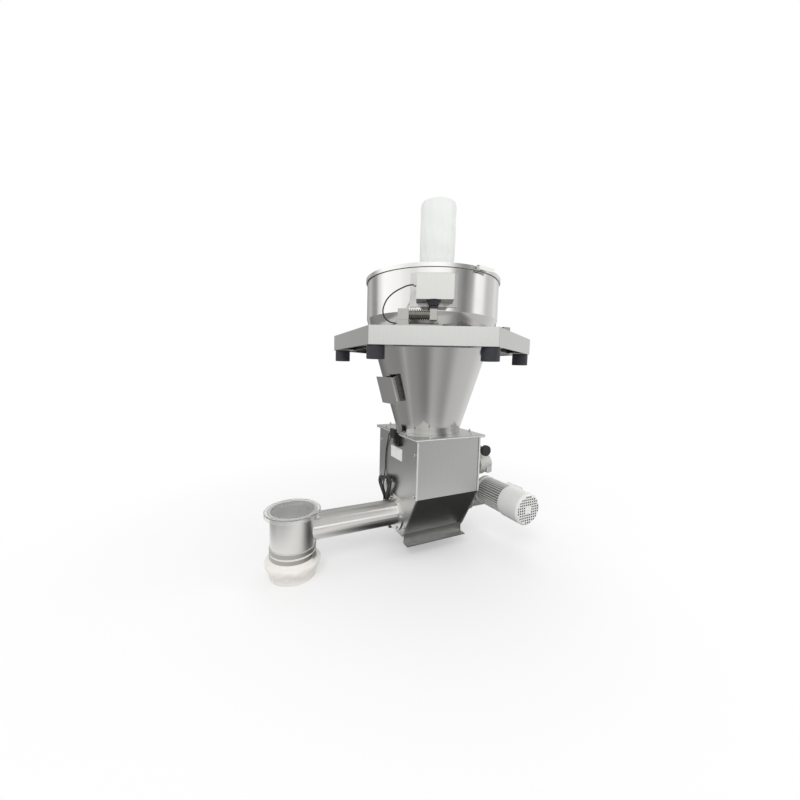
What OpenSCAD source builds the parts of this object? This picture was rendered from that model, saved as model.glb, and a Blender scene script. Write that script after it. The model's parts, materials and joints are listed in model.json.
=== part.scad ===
// Screw feeder that meters powder by volume, hung on a weighing platform.
// The origin is the centre of the circle of platform feet, on the plane that
// the feet stand on. X runs along the screw, the outlet is at -X, +Z is up.

/* [Hopper] */
// Outer radius of the hopper
hopper_r = 300; // [280:1:306]
// Height of the straight shell above the cone
shell_h = 170; // [150:1:220]
// Height of the cone
cone_h = 489; // [460:1:520]
// Height of the point where shell and cone meet, above the feet plane
cone_top_z = 190; // [180:1:200]
// Outer radius of the collar under the cone
collar_r = 153; // [146:1:156]
// Height of the collar
collar_h = 19; // [14:1:26]
// Sheet of the hopper
hopper_sheet = 3; // [2:0.5:4]
// Width of the turned-out rim
rim_w = 3; // [2:0.5:4]

/* [Lid] */
// Thickness of the lid's sheet
lid_sheet = 3; // [2:0.5:4]
// Rise of the pressed middle of the lid
lid_rise = 12; // [6:1:20]
// Thickness of the lid seal
lid_seal_h = 3; // [2:0.5:4]
// Height of the clamp ring's band
ring_h = 13; // [12:1:16]
// Sheet of the clamp ring
ring_sheet = 2.5; // [2:0.5:3]
// Outer radius of the vent stub
vent_r = 74; // [60:1:76]
// Height of the vent stub above the lid's middle
vent_h = 84; // [80:1:120]
// Radius of the filter bag
bag_r = 79; // [78:1:88]
// Height of the filter bag
bag_h = 293; // [250:1:360]
// Outer radius of the refill spigot
refill_r = 79; // [60:1:84]
// Height of the refill spigot
refill_h = 55; // [40:1:80]

/* [Weighing platform] */
// Distance from the hopper's shell to the flats of the platform
platform_gap = 100; // [95:1:110]
// Height of the frame's channel
beam_h = 70; // [60:1:80]
// Width of the frame's channel
beam_w = 75; // [72:1:78]
// Sheet of the channel
beam_sheet = 3; // [2:0.5:4]
// Distance from a corner of the platform to the centre of its foot
foot_inset = 42.88; // [40:0.02:46]
// Radius of one foot
foot_r = 34; // [30:0.5:34.5]
// Height of one foot
foot_h = 50; // [40:1:60]
// Radius of the threaded hole in a foot
foot_hole_r = 5.1; // [4:0.1:6]

/* [Weigh stations] */
// Width of the hood that the hopper hangs by
hood_w = 137; // [120:1:150]
// Depth of the hood beyond the load cell's centre line
hood_d = 17; // [14:1:20]
// Height of the hood
hood_h = 91; // [80:1:100]
// Radius of the rubber mount's upper plate
mount_r = 27; // [22:1:30]
// Radius of a load cell's bellows
cell_r = 20; // [16:1:22]
// Radius of the cell cable
cell_cable_r = 2.75; // [2:0.25:3]

/* [Trough] */
// Length of the trough between its end plates
trough_l = 314; // [300:2:320]
// Width of the trough over its panels
trough_w = 384; // [370:2:400]
// Height of the trough's upright panels
panel_h = 251; // [240:1:262]
// Height of the slopes under the panels
slope_h = 195; // [190:1:200]
// Width between the outer lower edges of the slopes
base_w = 168; // [160:2:180]
// Sheet of the panels
panel_sheet = 3; // [2:0.5:4]
// Thickness of the end plates
end_sheet = 8; // [6:0.5:9]
// Amount that the end plates stand proud of the panels
end_proud = 3; // [2:0.5:5]
// Width of the flanges round the top of the trough
flange_w = 17; // [16:0.5:22]
// Thickness of the hopper's flange and of the trough's flange
flange_t = 4; // [3:0.5:5]
// Thickness of the gasket between the flanges
gasket_t = 3; // [2:0.5:4]
// Height of the foot rails
rail_h = 45; // [40:1:50]
// Width of the foot rails' flanges
rail_w = 35; // [30:1:40]

/* [Discharge] */
// Outer radius of the screw tube
tube_r = 57.15; // [54:0.05:58]
// Wall of the tubes
tube_wall = 3; // [2:0.5:3.5]
// Distance from the hopper's axis to the axis of the outlet
outlet_x = 627; // [600:1:680]
// Outer radius of the outlet
outlet_r = 88.9; // [84:0.1:94]
// Height of the outlet above the screw's axis
outlet_up = 82; // [75:1:90]
// Depth of the outlet below the screw's axis
outlet_down = 104; // [100:1:115]
// Radius of the sight cap
cap_r = 111; // [106:1:115]
// Thickness of the sight cap
cap_t = 6; // [4:0.5:8]
// Largest radius of the outlet sleeve
sleeve_r = 113; // [108:1:118]
// Length of the outlet sleeve
sleeve_h = 126; // [118:1:150]

/* [Screw and agitator] */
// Depth of the screw's axis under the feet plane
screw_depth = 699; // [696:1:702]
// Outer radius of the screw
screw_r = 48; // [44:0.5:50]
// Pitch of the screw
screw_pitch = 70; // [60:1:90]
// Thickness of the flight
flight_t = 4; // [3:0.5:5]
// Radius of the screw's shaft
screw_shaft_r = 15; // [13:0.5:16]
// Height of the agitator's axis above the screw's axis
agitator_up = 182; // [180:1:186]
// Radius that the agitator sweeps
agitator_r = 124; // [110:1:126]
// Radius of the agitator's shaft
agitator_shaft_r = 15; // [13:0.5:16]

/* [Screw drive] */
// Height of the motor's axis above the screw's axis
worm_up = 63; // [60:1:66]
// Distance from the drive plate to the gearbox
lantern_l = 95; // [85:1:105]
// Width of the gearbox along the screw
gearbox_w = 112; // [100:1:120]
// Distance from the screw's axis to the motor's flange
motor_y = 75; // [72:1:80]
// Length of the finned motor body
motor_l = 167; // [150:1:180]
// Outer radius of the motor's fins
motor_r = 68; // [62:1:70]
// Count of fins round the motor
fin_count = 36; // [24:2:48]
// Outer radius of the fan cowl
cowl_r = 71.5; // [71:0.5:75]
// Length of the fan cowl
cowl_l = 113; // [100:1:125]
// Pitch of the square holes in the cowl's grille
grille_pitch = 11.5; // [10:0.5:13]
// Side of a square hole in the grille
grille_hole = 7; // [5:0.5:7.5]
// Radius of the motor's shaft
motor_shaft_r = 9; // [7:0.5:10]

/* [Agitator drive] */
// Distance from the drive plate to the split clamp
neck_l = 136; // [130:1:142]
// Width of the split clamp
clamp_w = 28; // [22:1:32]
// Radius of the agitator gearbox
agitator_box_r = 46; // [42:1:48]
// Width of the agitator gearbox
agitator_box_w = 46; // [40:1:52]
// Radius of the clamp's knob
knob_r = 28; // [24:1:32]

/* [Hidden] */
$fn = 96;

steel = [0.74, 0.74, 0.73];
bright_steel = [0.82, 0.82, 0.81];
dark_rubber = [0.08, 0.08, 0.09];
motor_grey = [0.84, 0.84, 0.82];
cast_grey = [0.62, 0.63, 0.64];
eps = 0.01;
run_gap = 0.05;
free_gap = 0.5;
loose_gap = 0.3;

rim_z = cone_top_z + shell_h;
cone_bottom_z = cone_top_z - cone_h;
flange_top_z = cone_bottom_z - collar_h;
gasket_z = flange_top_z - flange_t;
trough_top_z = gasket_z - gasket_t;
panel_top_z = trough_top_z - flange_t;
knee_z = trough_top_z - panel_h - flange_t;
slope_end_z = knee_z - slope_h;
ground_z = slope_end_z - rail_h;
screw_z = -screw_depth;
agitator_z = screw_z + agitator_up;
half_l = trough_l / 2;
half_w = trough_w / 2;
half_base = base_w / 2;
inner_w = half_w - panel_sheet;
drive_x = half_l + end_sheet;

// The cone, its wall and the rim.
shell_inner_r = hopper_r - hopper_sheet;
rim_t = 4;
rim_r = hopper_r + rim_w;

module hopper_shell() {
    color(steel) {
        rotate_extrude() {
            polygon([
                [collar_r - hopper_sheet, flange_top_z],
                [collar_r, flange_top_z],
                [collar_r, cone_bottom_z],
                [hopper_r, cone_top_z],
                [hopper_r, rim_z - rim_t],
                [rim_r, rim_z - rim_t],
                [rim_r, rim_z],
                [shell_inner_r, rim_z],
                [shell_inner_r, cone_top_z],
                [collar_r - hopper_sheet, cone_bottom_z]
            ]);
        }
    }
}

flange_over = 13;
flange_x = drive_x + flange_over;
flange_y = half_w + flange_w;
bolt_head_r = 5.8;
bolt_x = half_l + end_sheet + bolt_head_r + free_gap;
bolt_y = half_w + flange_w / 2;
bolt_side = 105;
bolt_r = 3;
bolt_hole_r = bolt_r + free_gap;

// Places of the bolts round the trough's top, two on each side.
bolt_places = concat(
    [for (sx = [-1, 1], sy = [-1, 1]) [sx * bolt_x, sy * bolt_side]],
    [for (sx = [-1, 1], sy = [-1, 1]) [sx * bolt_side, sy * bolt_y]]);

module flange_plate(z, t) {
    translate([-flange_x, -flange_y, z]) cube([2 * flange_x, 2 * flange_y, t]);
}

module flange_bores(z, t) {
    for (p = bolt_places) {
        translate([p[0], p[1], z - 1]) cylinder(r = bolt_hole_r, h = t + 2);
    }
}

module hopper_flange() {
    color(steel) {
        difference() {
            flange_plate(gasket_z, flange_t);
            translate([0, 0, gasket_z - 1]) cylinder(r = collar_r - hopper_sheet, h = flange_t + 2);
            flange_bores(gasket_z, flange_t);
        }
    }
}

module trough_mouth(z, t) {
    translate([-half_l, -inner_w, z - 1]) cube([trough_l, 2 * inner_w, t + 2]);
}

module trough_gasket() {
    color("whitesmoke") {
        difference() {
            flange_plate(trough_top_z, gasket_t);
            trough_mouth(trough_top_z, gasket_t);
            flange_bores(trough_top_z, gasket_t);
        }
    }
}

module trough_flange() {
    color(bright_steel) {
        difference() {
            flange_plate(panel_top_z, flange_t);
            trough_mouth(panel_top_z, flange_t);
            flange_bores(panel_top_z, flange_t);
        }
    }
}

// Hexagon head below, nut and thread end above.
module trough_bolts() {
    nut_h = 5;
    thread_end = 6;
    color(bright_steel) {
        for (p = bolt_places) {
            translate([p[0], p[1], panel_top_z - nut_h]) {
                cylinder(r = bolt_head_r, h = nut_h, $fn = 6);
                cylinder(r = bolt_r, h = flange_top_z - panel_top_z + 2 * nut_h + thread_end);
            }
            translate([p[0], p[1], flange_top_z]) cylinder(r = bolt_head_r, h = nut_h, $fn = 6);
        }
    }
}

// Lid, its seal and the clamp ring that holds both on the rim.
lid_z = rim_z + loose_gap + lid_seal_h;
lid_top_z = lid_z + lid_sheet;
lid_mid_r = hopper_r - 22;
lid_rise_r = lid_mid_r - 16;
lid_mid_z = lid_z + lid_rise;
ring_inner_r = rim_r + loose_gap;
ring_outer_r = ring_inner_r + ring_sheet;
ring_top_z = lid_top_z + loose_gap;
vent_x = 15;
vent_y = -10;
refill_y = 150;

module lid() {
    color(steel) {
        difference() {
            rotate_extrude() {
                polygon([
                    [0, lid_mid_z], [lid_rise_r, lid_mid_z], [lid_mid_r, lid_z], [rim_r, lid_z],
                    [rim_r, lid_top_z], [lid_mid_r, lid_top_z], [lid_rise_r, lid_mid_z + lid_sheet],
                    [0, lid_mid_z + lid_sheet]
                ]);
            }
            translate([vent_x, vent_y, lid_mid_z - 1]) {
                cylinder(r = vent_r - tube_wall, h = lid_sheet + 2);
            }
            translate([0, refill_y, lid_mid_z - 1]) {
                cylinder(r = refill_r - tube_wall, h = lid_sheet + 2);
            }
        }
    }
}

module lid_seal() {
    color("whitesmoke") {
        rotate_extrude() {
            translate([shell_inner_r - 2, rim_z + loose_gap]) {
                square([rim_r - shell_inner_r + 2, lid_seal_h]);
            }
        }
    }
}

module stub(x, y, r, h) {
    translate([x, y, lid_mid_z + lid_sheet]) {
        difference() {
            cylinder(r = r, h = h);
            translate([0, 0, -1]) cylinder(r = r - tube_wall, h = h + 2);
        }
    }
}

module vent_stub() {
    color(steel) stub(vent_x, vent_y, vent_r, vent_h);
}

module refill_spigot() {
    color(steel) stub(0, refill_y, refill_r, refill_h);
}

// The closure sits at this bearing on the ring.
closure_a = 276;
closure_gap = 12;
lug_w = 12;
lug_out = 14;
pin_r = 3;
pin_t = -closure_gap / 2 - lug_w / 2 - 10;
pin_n = ring_outer_r + 9;
lever_l = 84;
lever_h = ring_h + 6;

module clamp_ring() {
    top_lip = 6;
    color(bright_steel) {
        difference() {
            rotate_extrude() {
                polygon([
                    [rim_r - top_lip, ring_top_z], [ring_inner_r, ring_top_z],
                    [ring_inner_r, ring_top_z - ring_h], [ring_outer_r, ring_top_z - ring_h],
                    [ring_outer_r, ring_top_z + ring_sheet], [rim_r - top_lip, ring_top_z + ring_sheet]
                ]);
            }
            rotate([0, 0, closure_a]) {
                translate([hopper_r - 20, -closure_gap / 2, ring_top_z - ring_h - 1]) {
                    cube([40, closure_gap, ring_h + ring_sheet + 2]);
                }
            }
        }
        rotate([0, 0, closure_a]) {
            for (s = [-1, 1]) {
                translate([ring_outer_r - 1, s * (closure_gap + lug_w) / 2 - lug_w / 2, ring_top_z - ring_h + 1]) {
                    cube([s > 0 ? lug_out - 6 : lug_out, lug_w, ring_h - 2]);
                }
            }
            translate([pin_n, pin_t, ring_top_z - ring_h - 3]) cylinder(r = pin_r, h = lever_h + 1);
            for (z = [ring_top_z - ring_h + 1, ring_top_z - 4]) {
                translate([ring_outer_r - 1, pin_t - 2.5, z]) cube([pin_n - ring_outer_r + 2, 5, 3]);
            }
        }
    }
}

module ring_lever() {
    plate_t = 2.5;
    lever_n = ring_outer_r + lug_out + 1;
    color(bright_steel) {
        rotate([0, 0, closure_a]) {
            difference() {
                union() {
                    translate([lever_n, pin_t - 2, ring_top_z - ring_h - 1]) {
                        cube([plate_t, lever_l, ring_h + 2]);
                    }
                    for (z = [ring_top_z - ring_h - 2.5, ring_top_z + 0.5]) {
                        translate([pin_n, pin_t, z]) {
                            cylinder(r = 6, h = 2);
                            translate([0, -6, 0]) cube([lever_n - pin_n + 1, 12, 2]);
                        }
                    }
                }
                translate([pin_n, pin_t, ring_top_z - 2 * ring_h]) {
                    cylinder(r = pin_r + run_gap, h = 3 * ring_h);
                }
            }
        }
    }
}

// Filter bag: a sock over the stub with a slack, rounded crown.
bag_wall = 2;
bag_overlap = 32;
bag_z = lid_mid_z + lid_sheet + vent_h - bag_overlap;
bag_neck_r = vent_r + loose_gap;

module filter_bag() {
    crown = 34;
    top_z = bag_z + bag_h;
    color("white") {
        translate([vent_x, vent_y, 0]) {
            rotate_extrude() {
                difference() {
                    polygon([
                        [0, bag_z], [bag_neck_r + bag_wall, bag_z], [bag_neck_r + bag_wall, bag_z + 22],
                        [bag_r, bag_z + 48], [bag_r - 2, top_z - crown], [bag_r - 14, top_z - 8],
                        [bag_r - 34, top_z], [0, top_z - 2]
                    ]);
                    polygon([
                        [-1, bag_z - 1], [bag_neck_r, bag_z - 1], [bag_neck_r, bag_z + 22],
                        [bag_r - bag_wall, bag_z + 48], [bag_r - 2 - bag_wall, top_z - crown],
                        [bag_r - 15, top_z - 11], [bag_r - 35, top_z - 4], [-1, top_z - 5]
                    ]);
                }
            }
        }
    }
}

// Worm-drive band: a flat strip round a sleeve with its screw housing.
module band(x, y, z, r, h, a) {
    band_t = 1.2;
    translate([x, y, z]) {
        difference() {
            cylinder(r = r + band_t, h = h);
            translate([0, 0, -1]) cylinder(r = r, h = h + 2);
        }
        rotate([0, 0, a]) {
            translate([r + 0.2, -11, -0.5]) cube([8, 22, h + 1]);
            translate([r + 6, -17, h / 2]) rotate([-90, 0, 0]) cylinder(r = 4.2, h = 9);
        }
    }
}

module bag_clamp() {
    color(bright_steel) band(vent_x, vent_y, bag_z + 8, bag_neck_r + bag_wall, 9, 200);
}

// Weighing platform: a hexagon of folded channel, open below.
platform_af = 2 * (hopper_r + platform_gap);
hex_r = platform_af / 2 / cos(30);
foot_circle_r = hex_r - foot_inset;
frame_top_z = foot_h + beam_h;
foot_angles = [for (k = [0:5]) 30 + 60 * k];

module hexagon(af, h) {
    rotate([0, 0, 30]) cylinder(r = af / 2 / cos(30), h = h, $fn = 6);
}

module platform_frame() {
    inner_af = platform_af - 2 * beam_w;
    gusset_t = 5;
    color(steel) {
        difference() {
            translate([0, 0, foot_h]) hexagon(platform_af, beam_h);
            translate([0, 0, foot_h - 1]) hexagon(inner_af, beam_h + 2);
            difference() {
                translate([0, 0, foot_h - 1]) hexagon(platform_af - 2 * beam_sheet, beam_h + 1 - beam_sheet);
                translate([0, 0, foot_h - 2]) hexagon(inner_af + 2 * beam_sheet, beam_h + 3);
                for (a = foot_angles) {
                    rotate([0, 0, a]) {
                        translate([foot_circle_r - 60, -50, foot_h]) cube([120, 100, gusset_t]);
                    }
                }
            }
        }
    }
}

module platform_feet() {
    thread_depth = 30;
    color(dark_rubber) {
        for (a = foot_angles) {
            rotate([0, 0, a]) {
                translate([foot_circle_r, 0, 0]) {
                    difference() {
                        cylinder(r = foot_r, h = foot_h);
                        translate([0, 0, -1]) cylinder(r = foot_hole_r, h = thread_depth + 1);
                    }
                }
            }
        }
    }
}

// One weigh station, built facing +X and turned to its flat.
station_angles = [240, 0, 120];
hood_top_z = 309;
hood_z = hood_top_z - hood_h;
pad_z = 204;
pad_h = 128;
pad_t = 3;
hood_y = 3;
cell_inset = 48;
cell_n = platform_af / 2 - cell_inset;
cell_z = 164;
block = 40;
fixed_y = -130;
bellows_l = 72;
bellows_gap = 2;
free_block = 26;
load_y = fixed_y + block + 2 * bellows_gap + bellows_l + free_block / 2;
base_t = 6;
gland_z = 272;
gland_y = hood_y - hood_w / 2;
mount_stud_r = 6;
stud_hole_r = mount_stud_r + free_gap;

pad_half_a = 17.5;
hood_n = cell_n + hood_d;
hood_wall = 3;

module hood_box() {
    depth = hood_n - hopper_r + 30;
    translate([hopper_r - 30, gland_y, hood_z]) {
        difference() {
            cube([depth, hood_w, hood_h]);
            translate([-1, hood_wall, hood_wall]) {
                cube([depth + 1 - hood_wall, hood_w - 2 * hood_wall, hood_h - 2 * hood_wall]);
            }
        }
    }
}

// The stations behind the hopper carry a plain bracket in place of the hood.
bracket_w = 36;
bracket_h = 60;

module bracket() {
    back = hopper_r - 20;
    outer = cell_n + 12 - back;
    translate([back, load_y - bracket_w / 2, hood_z]) {
        difference() {
            cube([outer, bracket_w, bracket_h]);
            translate([-1, 5, 5]) cube([outer + 2, bracket_w - 10, bracket_h]);
            translate([outer, -1, 5]) rotate([0, -50, 0]) cube([outer, bracket_w + 2, bracket_h]);
        }
    }
}

module load_hood(a) {
    color(bright_steel) {
        rotate([0, 0, a]) {
            rotate([0, 0, -pad_half_a]) {
                translate([0, 0, pad_z]) {
                    rotate_extrude(angle = 2 * pad_half_a) {
                        translate([hopper_r, 0]) square([pad_t, pad_h]);
                    }
                }
            }
            difference() {
                if (a == station_angles[0]) hood_box();
                else bracket();
                translate([0, 0, hood_z - 1]) cylinder(r = hopper_r + pad_t, h = hood_h + 2);
                translate([cell_n, load_y, hood_z - 1]) cylinder(r = stud_hole_r, h = 10);
            }
        }
        if (a == station_angles[0]) {
            rotate([0, 0, a]) {
                translate([cell_n, gland_y, gland_z]) rotate([90, 0, 0]) cylinder(r = 7, h = 10);
            }
        }
    }
}

module rubber_mount(a) {
    plate_t = 4;
    waist_z = hood_z - 22;
    color(dark_rubber) {
        rotate([0, 0, a]) {
            translate([cell_n, load_y, 0]) {
                translate([0, 0, hood_z - plate_t]) cylinder(r = mount_r, h = plate_t);
                translate([0, 0, waist_z]) cylinder(r1 = 17, r2 = mount_r - 3, h = hood_z - plate_t - waist_z);
                translate([0, 0, cell_z + block / 2]) cylinder(r = free_block / 2, h = waist_z - cell_z - block / 2);
                translate([0, 0, hood_z - eps]) cylinder(r = mount_stud_r, h = 14);
            }
        }
    }
}

module load_cell(a) {
    ribs = 9;
    bellows_y = fixed_y + block + bellows_gap;
    rib = bellows_l / ribs;
    color(cast_grey) {
        rotate([0, 0, a]) {
            translate([cell_n, 0, cell_z]) {
                translate([-block / 2, fixed_y, -block / 2]) cube([block, block, block]);
                translate([0, bellows_y - 3, 0]) rotate([-90, 0, 0]) cylinder(r = cell_r - 5, h = bellows_l + 6);
                for (k = [0:ribs - 1]) {
                    translate([0, bellows_y + (k + 0.25) * rib, 0]) {
                        rotate([-90, 0, 0]) cylinder(r = cell_r, h = rib / 2);
                    }
                }
                translate([-block / 2, bellows_y + bellows_l + bellows_gap, -block / 2]) cube([block, free_block, block]);
            }
        }
    }
}

module cell_bases() {
    base_l = 170;
    plate_w = 62;
    color(bright_steel) {
        for (a = station_angles) {
            rotate([0, 0, a]) {
                translate([cell_n - plate_w / 2, fixed_y - 8, frame_top_z]) cube([plate_w, base_l, base_t]);
                translate([cell_n - block / 2, fixed_y, frame_top_z + base_t]) {
                    cube([block, block, cell_z - block / 2 - frame_top_z - base_t]);
                }
            }
        }
        rotate([0, 0, station_angles[0]]) {
            translate([cell_n, fixed_y, cable_end_z]) rotate([90, 0, 0]) cylinder(r = 5, h = 6);
        }
    }
}

// Cable from the hood's gland to the cell's foot, in the station's own frame.
cable_end_z = 134;
cell_cable_bow = [
    [0, -75.5, 272], [0, -86, 271.6], [-1, -102, 268], [-2, -120, 260], [-3, -138, 251], [-4, -156, 238],
    [-5, -172, 221], [-5, -182, 201], [-5, -187, 180], [-5, -184, 162], [-4, -174, 148], [-2, -160, 138],
    [0, -146, cable_end_z], [0, -136, cable_end_z]
];
cell_cable_route = [for (p = cell_cable_bow) p + [cell_n, 0, 0]];

// A round cord along a list of points: one ring of points per step of the
// smooth curve through them, joined ring to ring and closed at both ends.
function spline(p, i, t) =
    let (a = p[max(i - 1, 0)], b = p[i], c = p[i + 1], d = p[min(i + 2, len(p) - 1)])
    0.5 * (2 * b + (c - a) * t + (2 * a - 5 * b + 4 * c - d) * t * t + (3 * b - a - 3 * c + d) * t * t * t);
function smooth(p, n) = concat(
    [for (i = [0:len(p) - 2], k = [0:n - 1]) spline(p, i, k / n)],
    [p[len(p) - 1]]);
function unit(v) = v / norm(v);
function heading(q, i) = unit(q[min(i + 1, len(q) - 1)] - q[max(i - 1, 0)]);

module cord(p, r, n, side) {
    sides = 8;
    q = smooth(p, n);
    last = len(q) - 1;
    points = [
        for (i = [0:last], k = [0:sides - 1])
            let (t = heading(q, i), u = unit(cross(side, t)), v = cross(t, u), a = 360 * k / sides)
            q[i] + r * (cos(a) * u + sin(a) * v)
    ];
    skin = [
        for (i = [0:last - 1], k = [0:sides - 1], half = [0, 1])
            let (m = (k + 1) % sides, a = i * sides, b = a + sides)
            half == 0 ? [b + k, b + m, a + m] : [b + k, a + m, a + k]
    ];
    ends = [
        for (k = [1:sides - 2], e = [0, 1])
            e == 0 ? [0, k, k + 1] : [last * sides, last * sides + k + 1, last * sides + k]
    ];
    polyhedron(points = points, faces = concat(skin, ends));
}

module cell_cable() {
    color(dark_rubber) {
        rotate([0, 0, station_angles[0]]) cord(cell_cable_route, cell_cable_r, 3, [1, 0, 0]);
    }
}

// Holder for a rating plate on the cone, left bare.
holder_a = 186;
holder_w = 130;
holder_h = 124;
holder_top_z = -58;
holder_off = 28;
cone_slope = atan2(hopper_r - collar_r, cone_h);

module plate_holder() {
    plate_t = 2;
    mid_z = holder_top_z - holder_h / 2;
    mid_r = collar_r + (mid_z - cone_bottom_z) * tan(cone_slope);
    color(steel) {
        difference() {
            rotate([0, 0, holder_a]) {
                translate([mid_r, 0, mid_z]) {
                    rotate([0, cone_slope, 0]) {
                        translate([holder_off - plate_t, -holder_w / 2, -holder_h / 2]) {
                            cube([plate_t, holder_w, holder_h]);
                        }
                        for (s = [-1, 1]) {
                            translate([-12, s * (holder_w / 2 - 26) - plate_t / 2, -holder_h / 2 + 8]) {
                                cube([holder_off + 10.5, plate_t, holder_h - 16]);
                            }
                        }
                    }
                }
            }
            translate([0, 0, cone_bottom_z]) {
                cylinder(r1 = collar_r, r2 = hopper_r, h = cone_h);
            }
        }
    }
}

// A panel of the trough: upright, folded at the knee, then sloping in.
slope_a = atan2(slope_h, half_w - half_base);
fold = tan((90 - slope_a) / 2);

module panel() {
    t = panel_sheet;
    slope_n = [-t * sin(slope_a), t * cos(slope_a)];
    rotate([90, 0, 90]) {
        translate([0, 0, -half_l]) {
            linear_extrude(height = trough_l) {
                polygon([
                    [half_w, panel_top_z], [half_w, knee_z], [half_base, slope_end_z],
                    [half_base + slope_n[0], slope_end_z + slope_n[1]],
                    [inner_w, knee_z + t * fold], [inner_w, panel_top_z]
                ]);
            }
        }
    }
}

module back_panel() {
    color(steel) panel();
}

module front_panel() {
    color(steel) mirror([0, 1, 0]) panel();
}

// Foot rail: an angle with an upright web and a flange turned out.
rail_hole_r = 5.5;
rail_hole_x = 110;
rail_hole_y = half_base + rail_w / 2;

module rail() {
    web_t = 4;
    difference() {
        union() {
            translate([-half_l, half_base - web_t, ground_z]) cube([trough_l, web_t, rail_h - loose_gap]);
            translate([-half_l, half_base - eps, ground_z]) cube([trough_l, rail_w, web_t]);
        }
        for (s = [-1, 1]) {
            translate([s * rail_hole_x, rail_hole_y, ground_z - 1]) cylinder(r = rail_hole_r, h = web_t + 2);
        }
    }
}

module back_rail() {
    color(steel) rail();
}

module front_rail() {
    color(steel) mirror([0, 1, 0]) rail();
}

// End plates share one outline, proud of the panels.
plate_bottom_z = slope_end_z - 13;
tube_bore_r = tube_r - tube_wall;
shaft_hole_r = 22;

module end_outline() {
    w = half_w + end_proud;
    b = half_base + end_proud / sin(slope_a);
    polygon([
        [-w, panel_top_z], [-w, knee_z], [-b, slope_end_z], [-half_base + 6, plate_bottom_z],
        [half_base - 6, plate_bottom_z], [b, slope_end_z], [w, knee_z], [w, panel_top_z]
    ]);
}

module end_plate(x) {
    translate([x, 0, 0]) rotate([90, 0, 90]) linear_extrude(height = end_sheet) end_outline();
}

// Bush for the agitator's far end, welded inside the discharge plate.
bush_r = 26;
bush_l = 12;

module discharge_plate() {
    color(bright_steel) {
        difference() {
            union() {
                end_plate(-drive_x);
                translate([-half_l - eps, 0, agitator_z]) rotate([0, 90, 0]) cylinder(r = bush_r, h = bush_l);
            }
            translate([-drive_x - 1, 0, screw_z]) rotate([0, 90, 0]) cylinder(r = tube_bore_r, h = end_sheet + 2);
            translate([-half_l, 0, agitator_z]) {
                rotate([0, 90, 0]) cylinder(r = agitator_shaft_r + run_gap, h = bush_l + 1);
            }
        }
    }
}

module drive_plate() {
    color(bright_steel) {
        difference() {
            end_plate(half_l);
            for (z = [screw_z, agitator_z]) {
                translate([half_l - 1, 0, z]) rotate([0, 90, 0]) cylinder(r = shaft_hole_r, h = end_sheet + 2);
            }
        }
    }
}

// Screws that hold both end plates on the trough.
screw_inset = 14;

module plate_screws() {
    head_h = 5;
    places = [
        [half_w - screw_inset, panel_top_z - 60], [half_w - screw_inset, knee_z + 12],
        [half_base + 12, slope_end_z + 40]
    ];
    color(bright_steel) {
        for (s = [-1, 1], m = [-1, 1], p = places) {
            translate([s * drive_x, m * p[0], p[1]]) rotate([0, s * 90, 0]) cylinder(r = 6.5, h = head_h, $fn = 24);
        }
    }
}

// Inner trough: a half round under the screw with flanks at the slope's angle.
trough_clear = 4;
trough_r = screw_r + trough_clear;

module trough_section(r, top_z) {
    rise = (inner_w - r * sin(slope_a)) * tan(slope_a) - r * cos(slope_a);
    circle(r = r);
    polygon([
        [-r * sin(slope_a), -r * cos(slope_a)], [r * sin(slope_a), -r * cos(slope_a)],
        [inner_w, rise], [inner_w, top_z], [-inner_w, top_z], [-inner_w, rise]
    ]);
}

module screw_trough() {
    rim_up = (inner_w - trough_r * sin(slope_a)) * tan(slope_a) - trough_r * cos(slope_a);
    color(steel) {
        translate([-half_l, 0, screw_z]) {
            rotate([90, 0, 90]) {
                linear_extrude(height = trough_l) {
                    difference() {
                        trough_section(trough_r + panel_sheet, rim_up - eps);
                        trough_section(trough_r, rim_up + 1);
                    }
                }
            }
        }
    }
}

// Guard switch on the discharge plate, with its bracket over the flange edge.
switch_plate_t = 3;
switch_x = -flange_x - switch_plate_t;
switch_y = -12;
switch_w = 44;
switch_top_z = flange_top_z + 14;
switch_d = 14;
gland_drop = 28;
gland_l = 11;

module guard_switch() {
    body_h = 41;
    head_w = 22;
    head_h = 23;
    head_d = 10;
    head_side = 17;
    bracket_w = 32;
    bracket_side = 34;
    bracket_y = switch_y - bracket_side;
    foot_h = 44;
    bracket_h = 60;
    bracket_drop = 51;
    low_z = panel_top_z - bracket_drop;
    color(dark_rubber) {
        translate([switch_x - switch_d, switch_y - switch_w / 2, switch_top_z - body_h]) {
            cube([switch_d, switch_w, body_h]);
        }
        translate([switch_x - head_d, switch_y - head_w / 2 - head_side, switch_top_z - body_h - head_h]) {
            cube([head_d, head_w, head_h + eps]);
        }
        translate([switch_x - switch_d / 2, switch_y + switch_w / 2 - eps, switch_top_z - gland_drop]) {
            rotate([-90, 0, 0]) cylinder(r = 6, h = gland_l);
        }
    }
    color(bright_steel) {
        translate([-drive_x - switch_plate_t, bracket_y, low_z]) cube([switch_plate_t, bracket_w, foot_h]);
        translate([switch_x, bracket_y, low_z]) cube([switch_plate_t, bracket_w, bracket_h]);
        translate([switch_x, bracket_y, low_z]) cube([-switch_x - drive_x, bracket_w, switch_plate_t]);
    }
}

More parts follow.
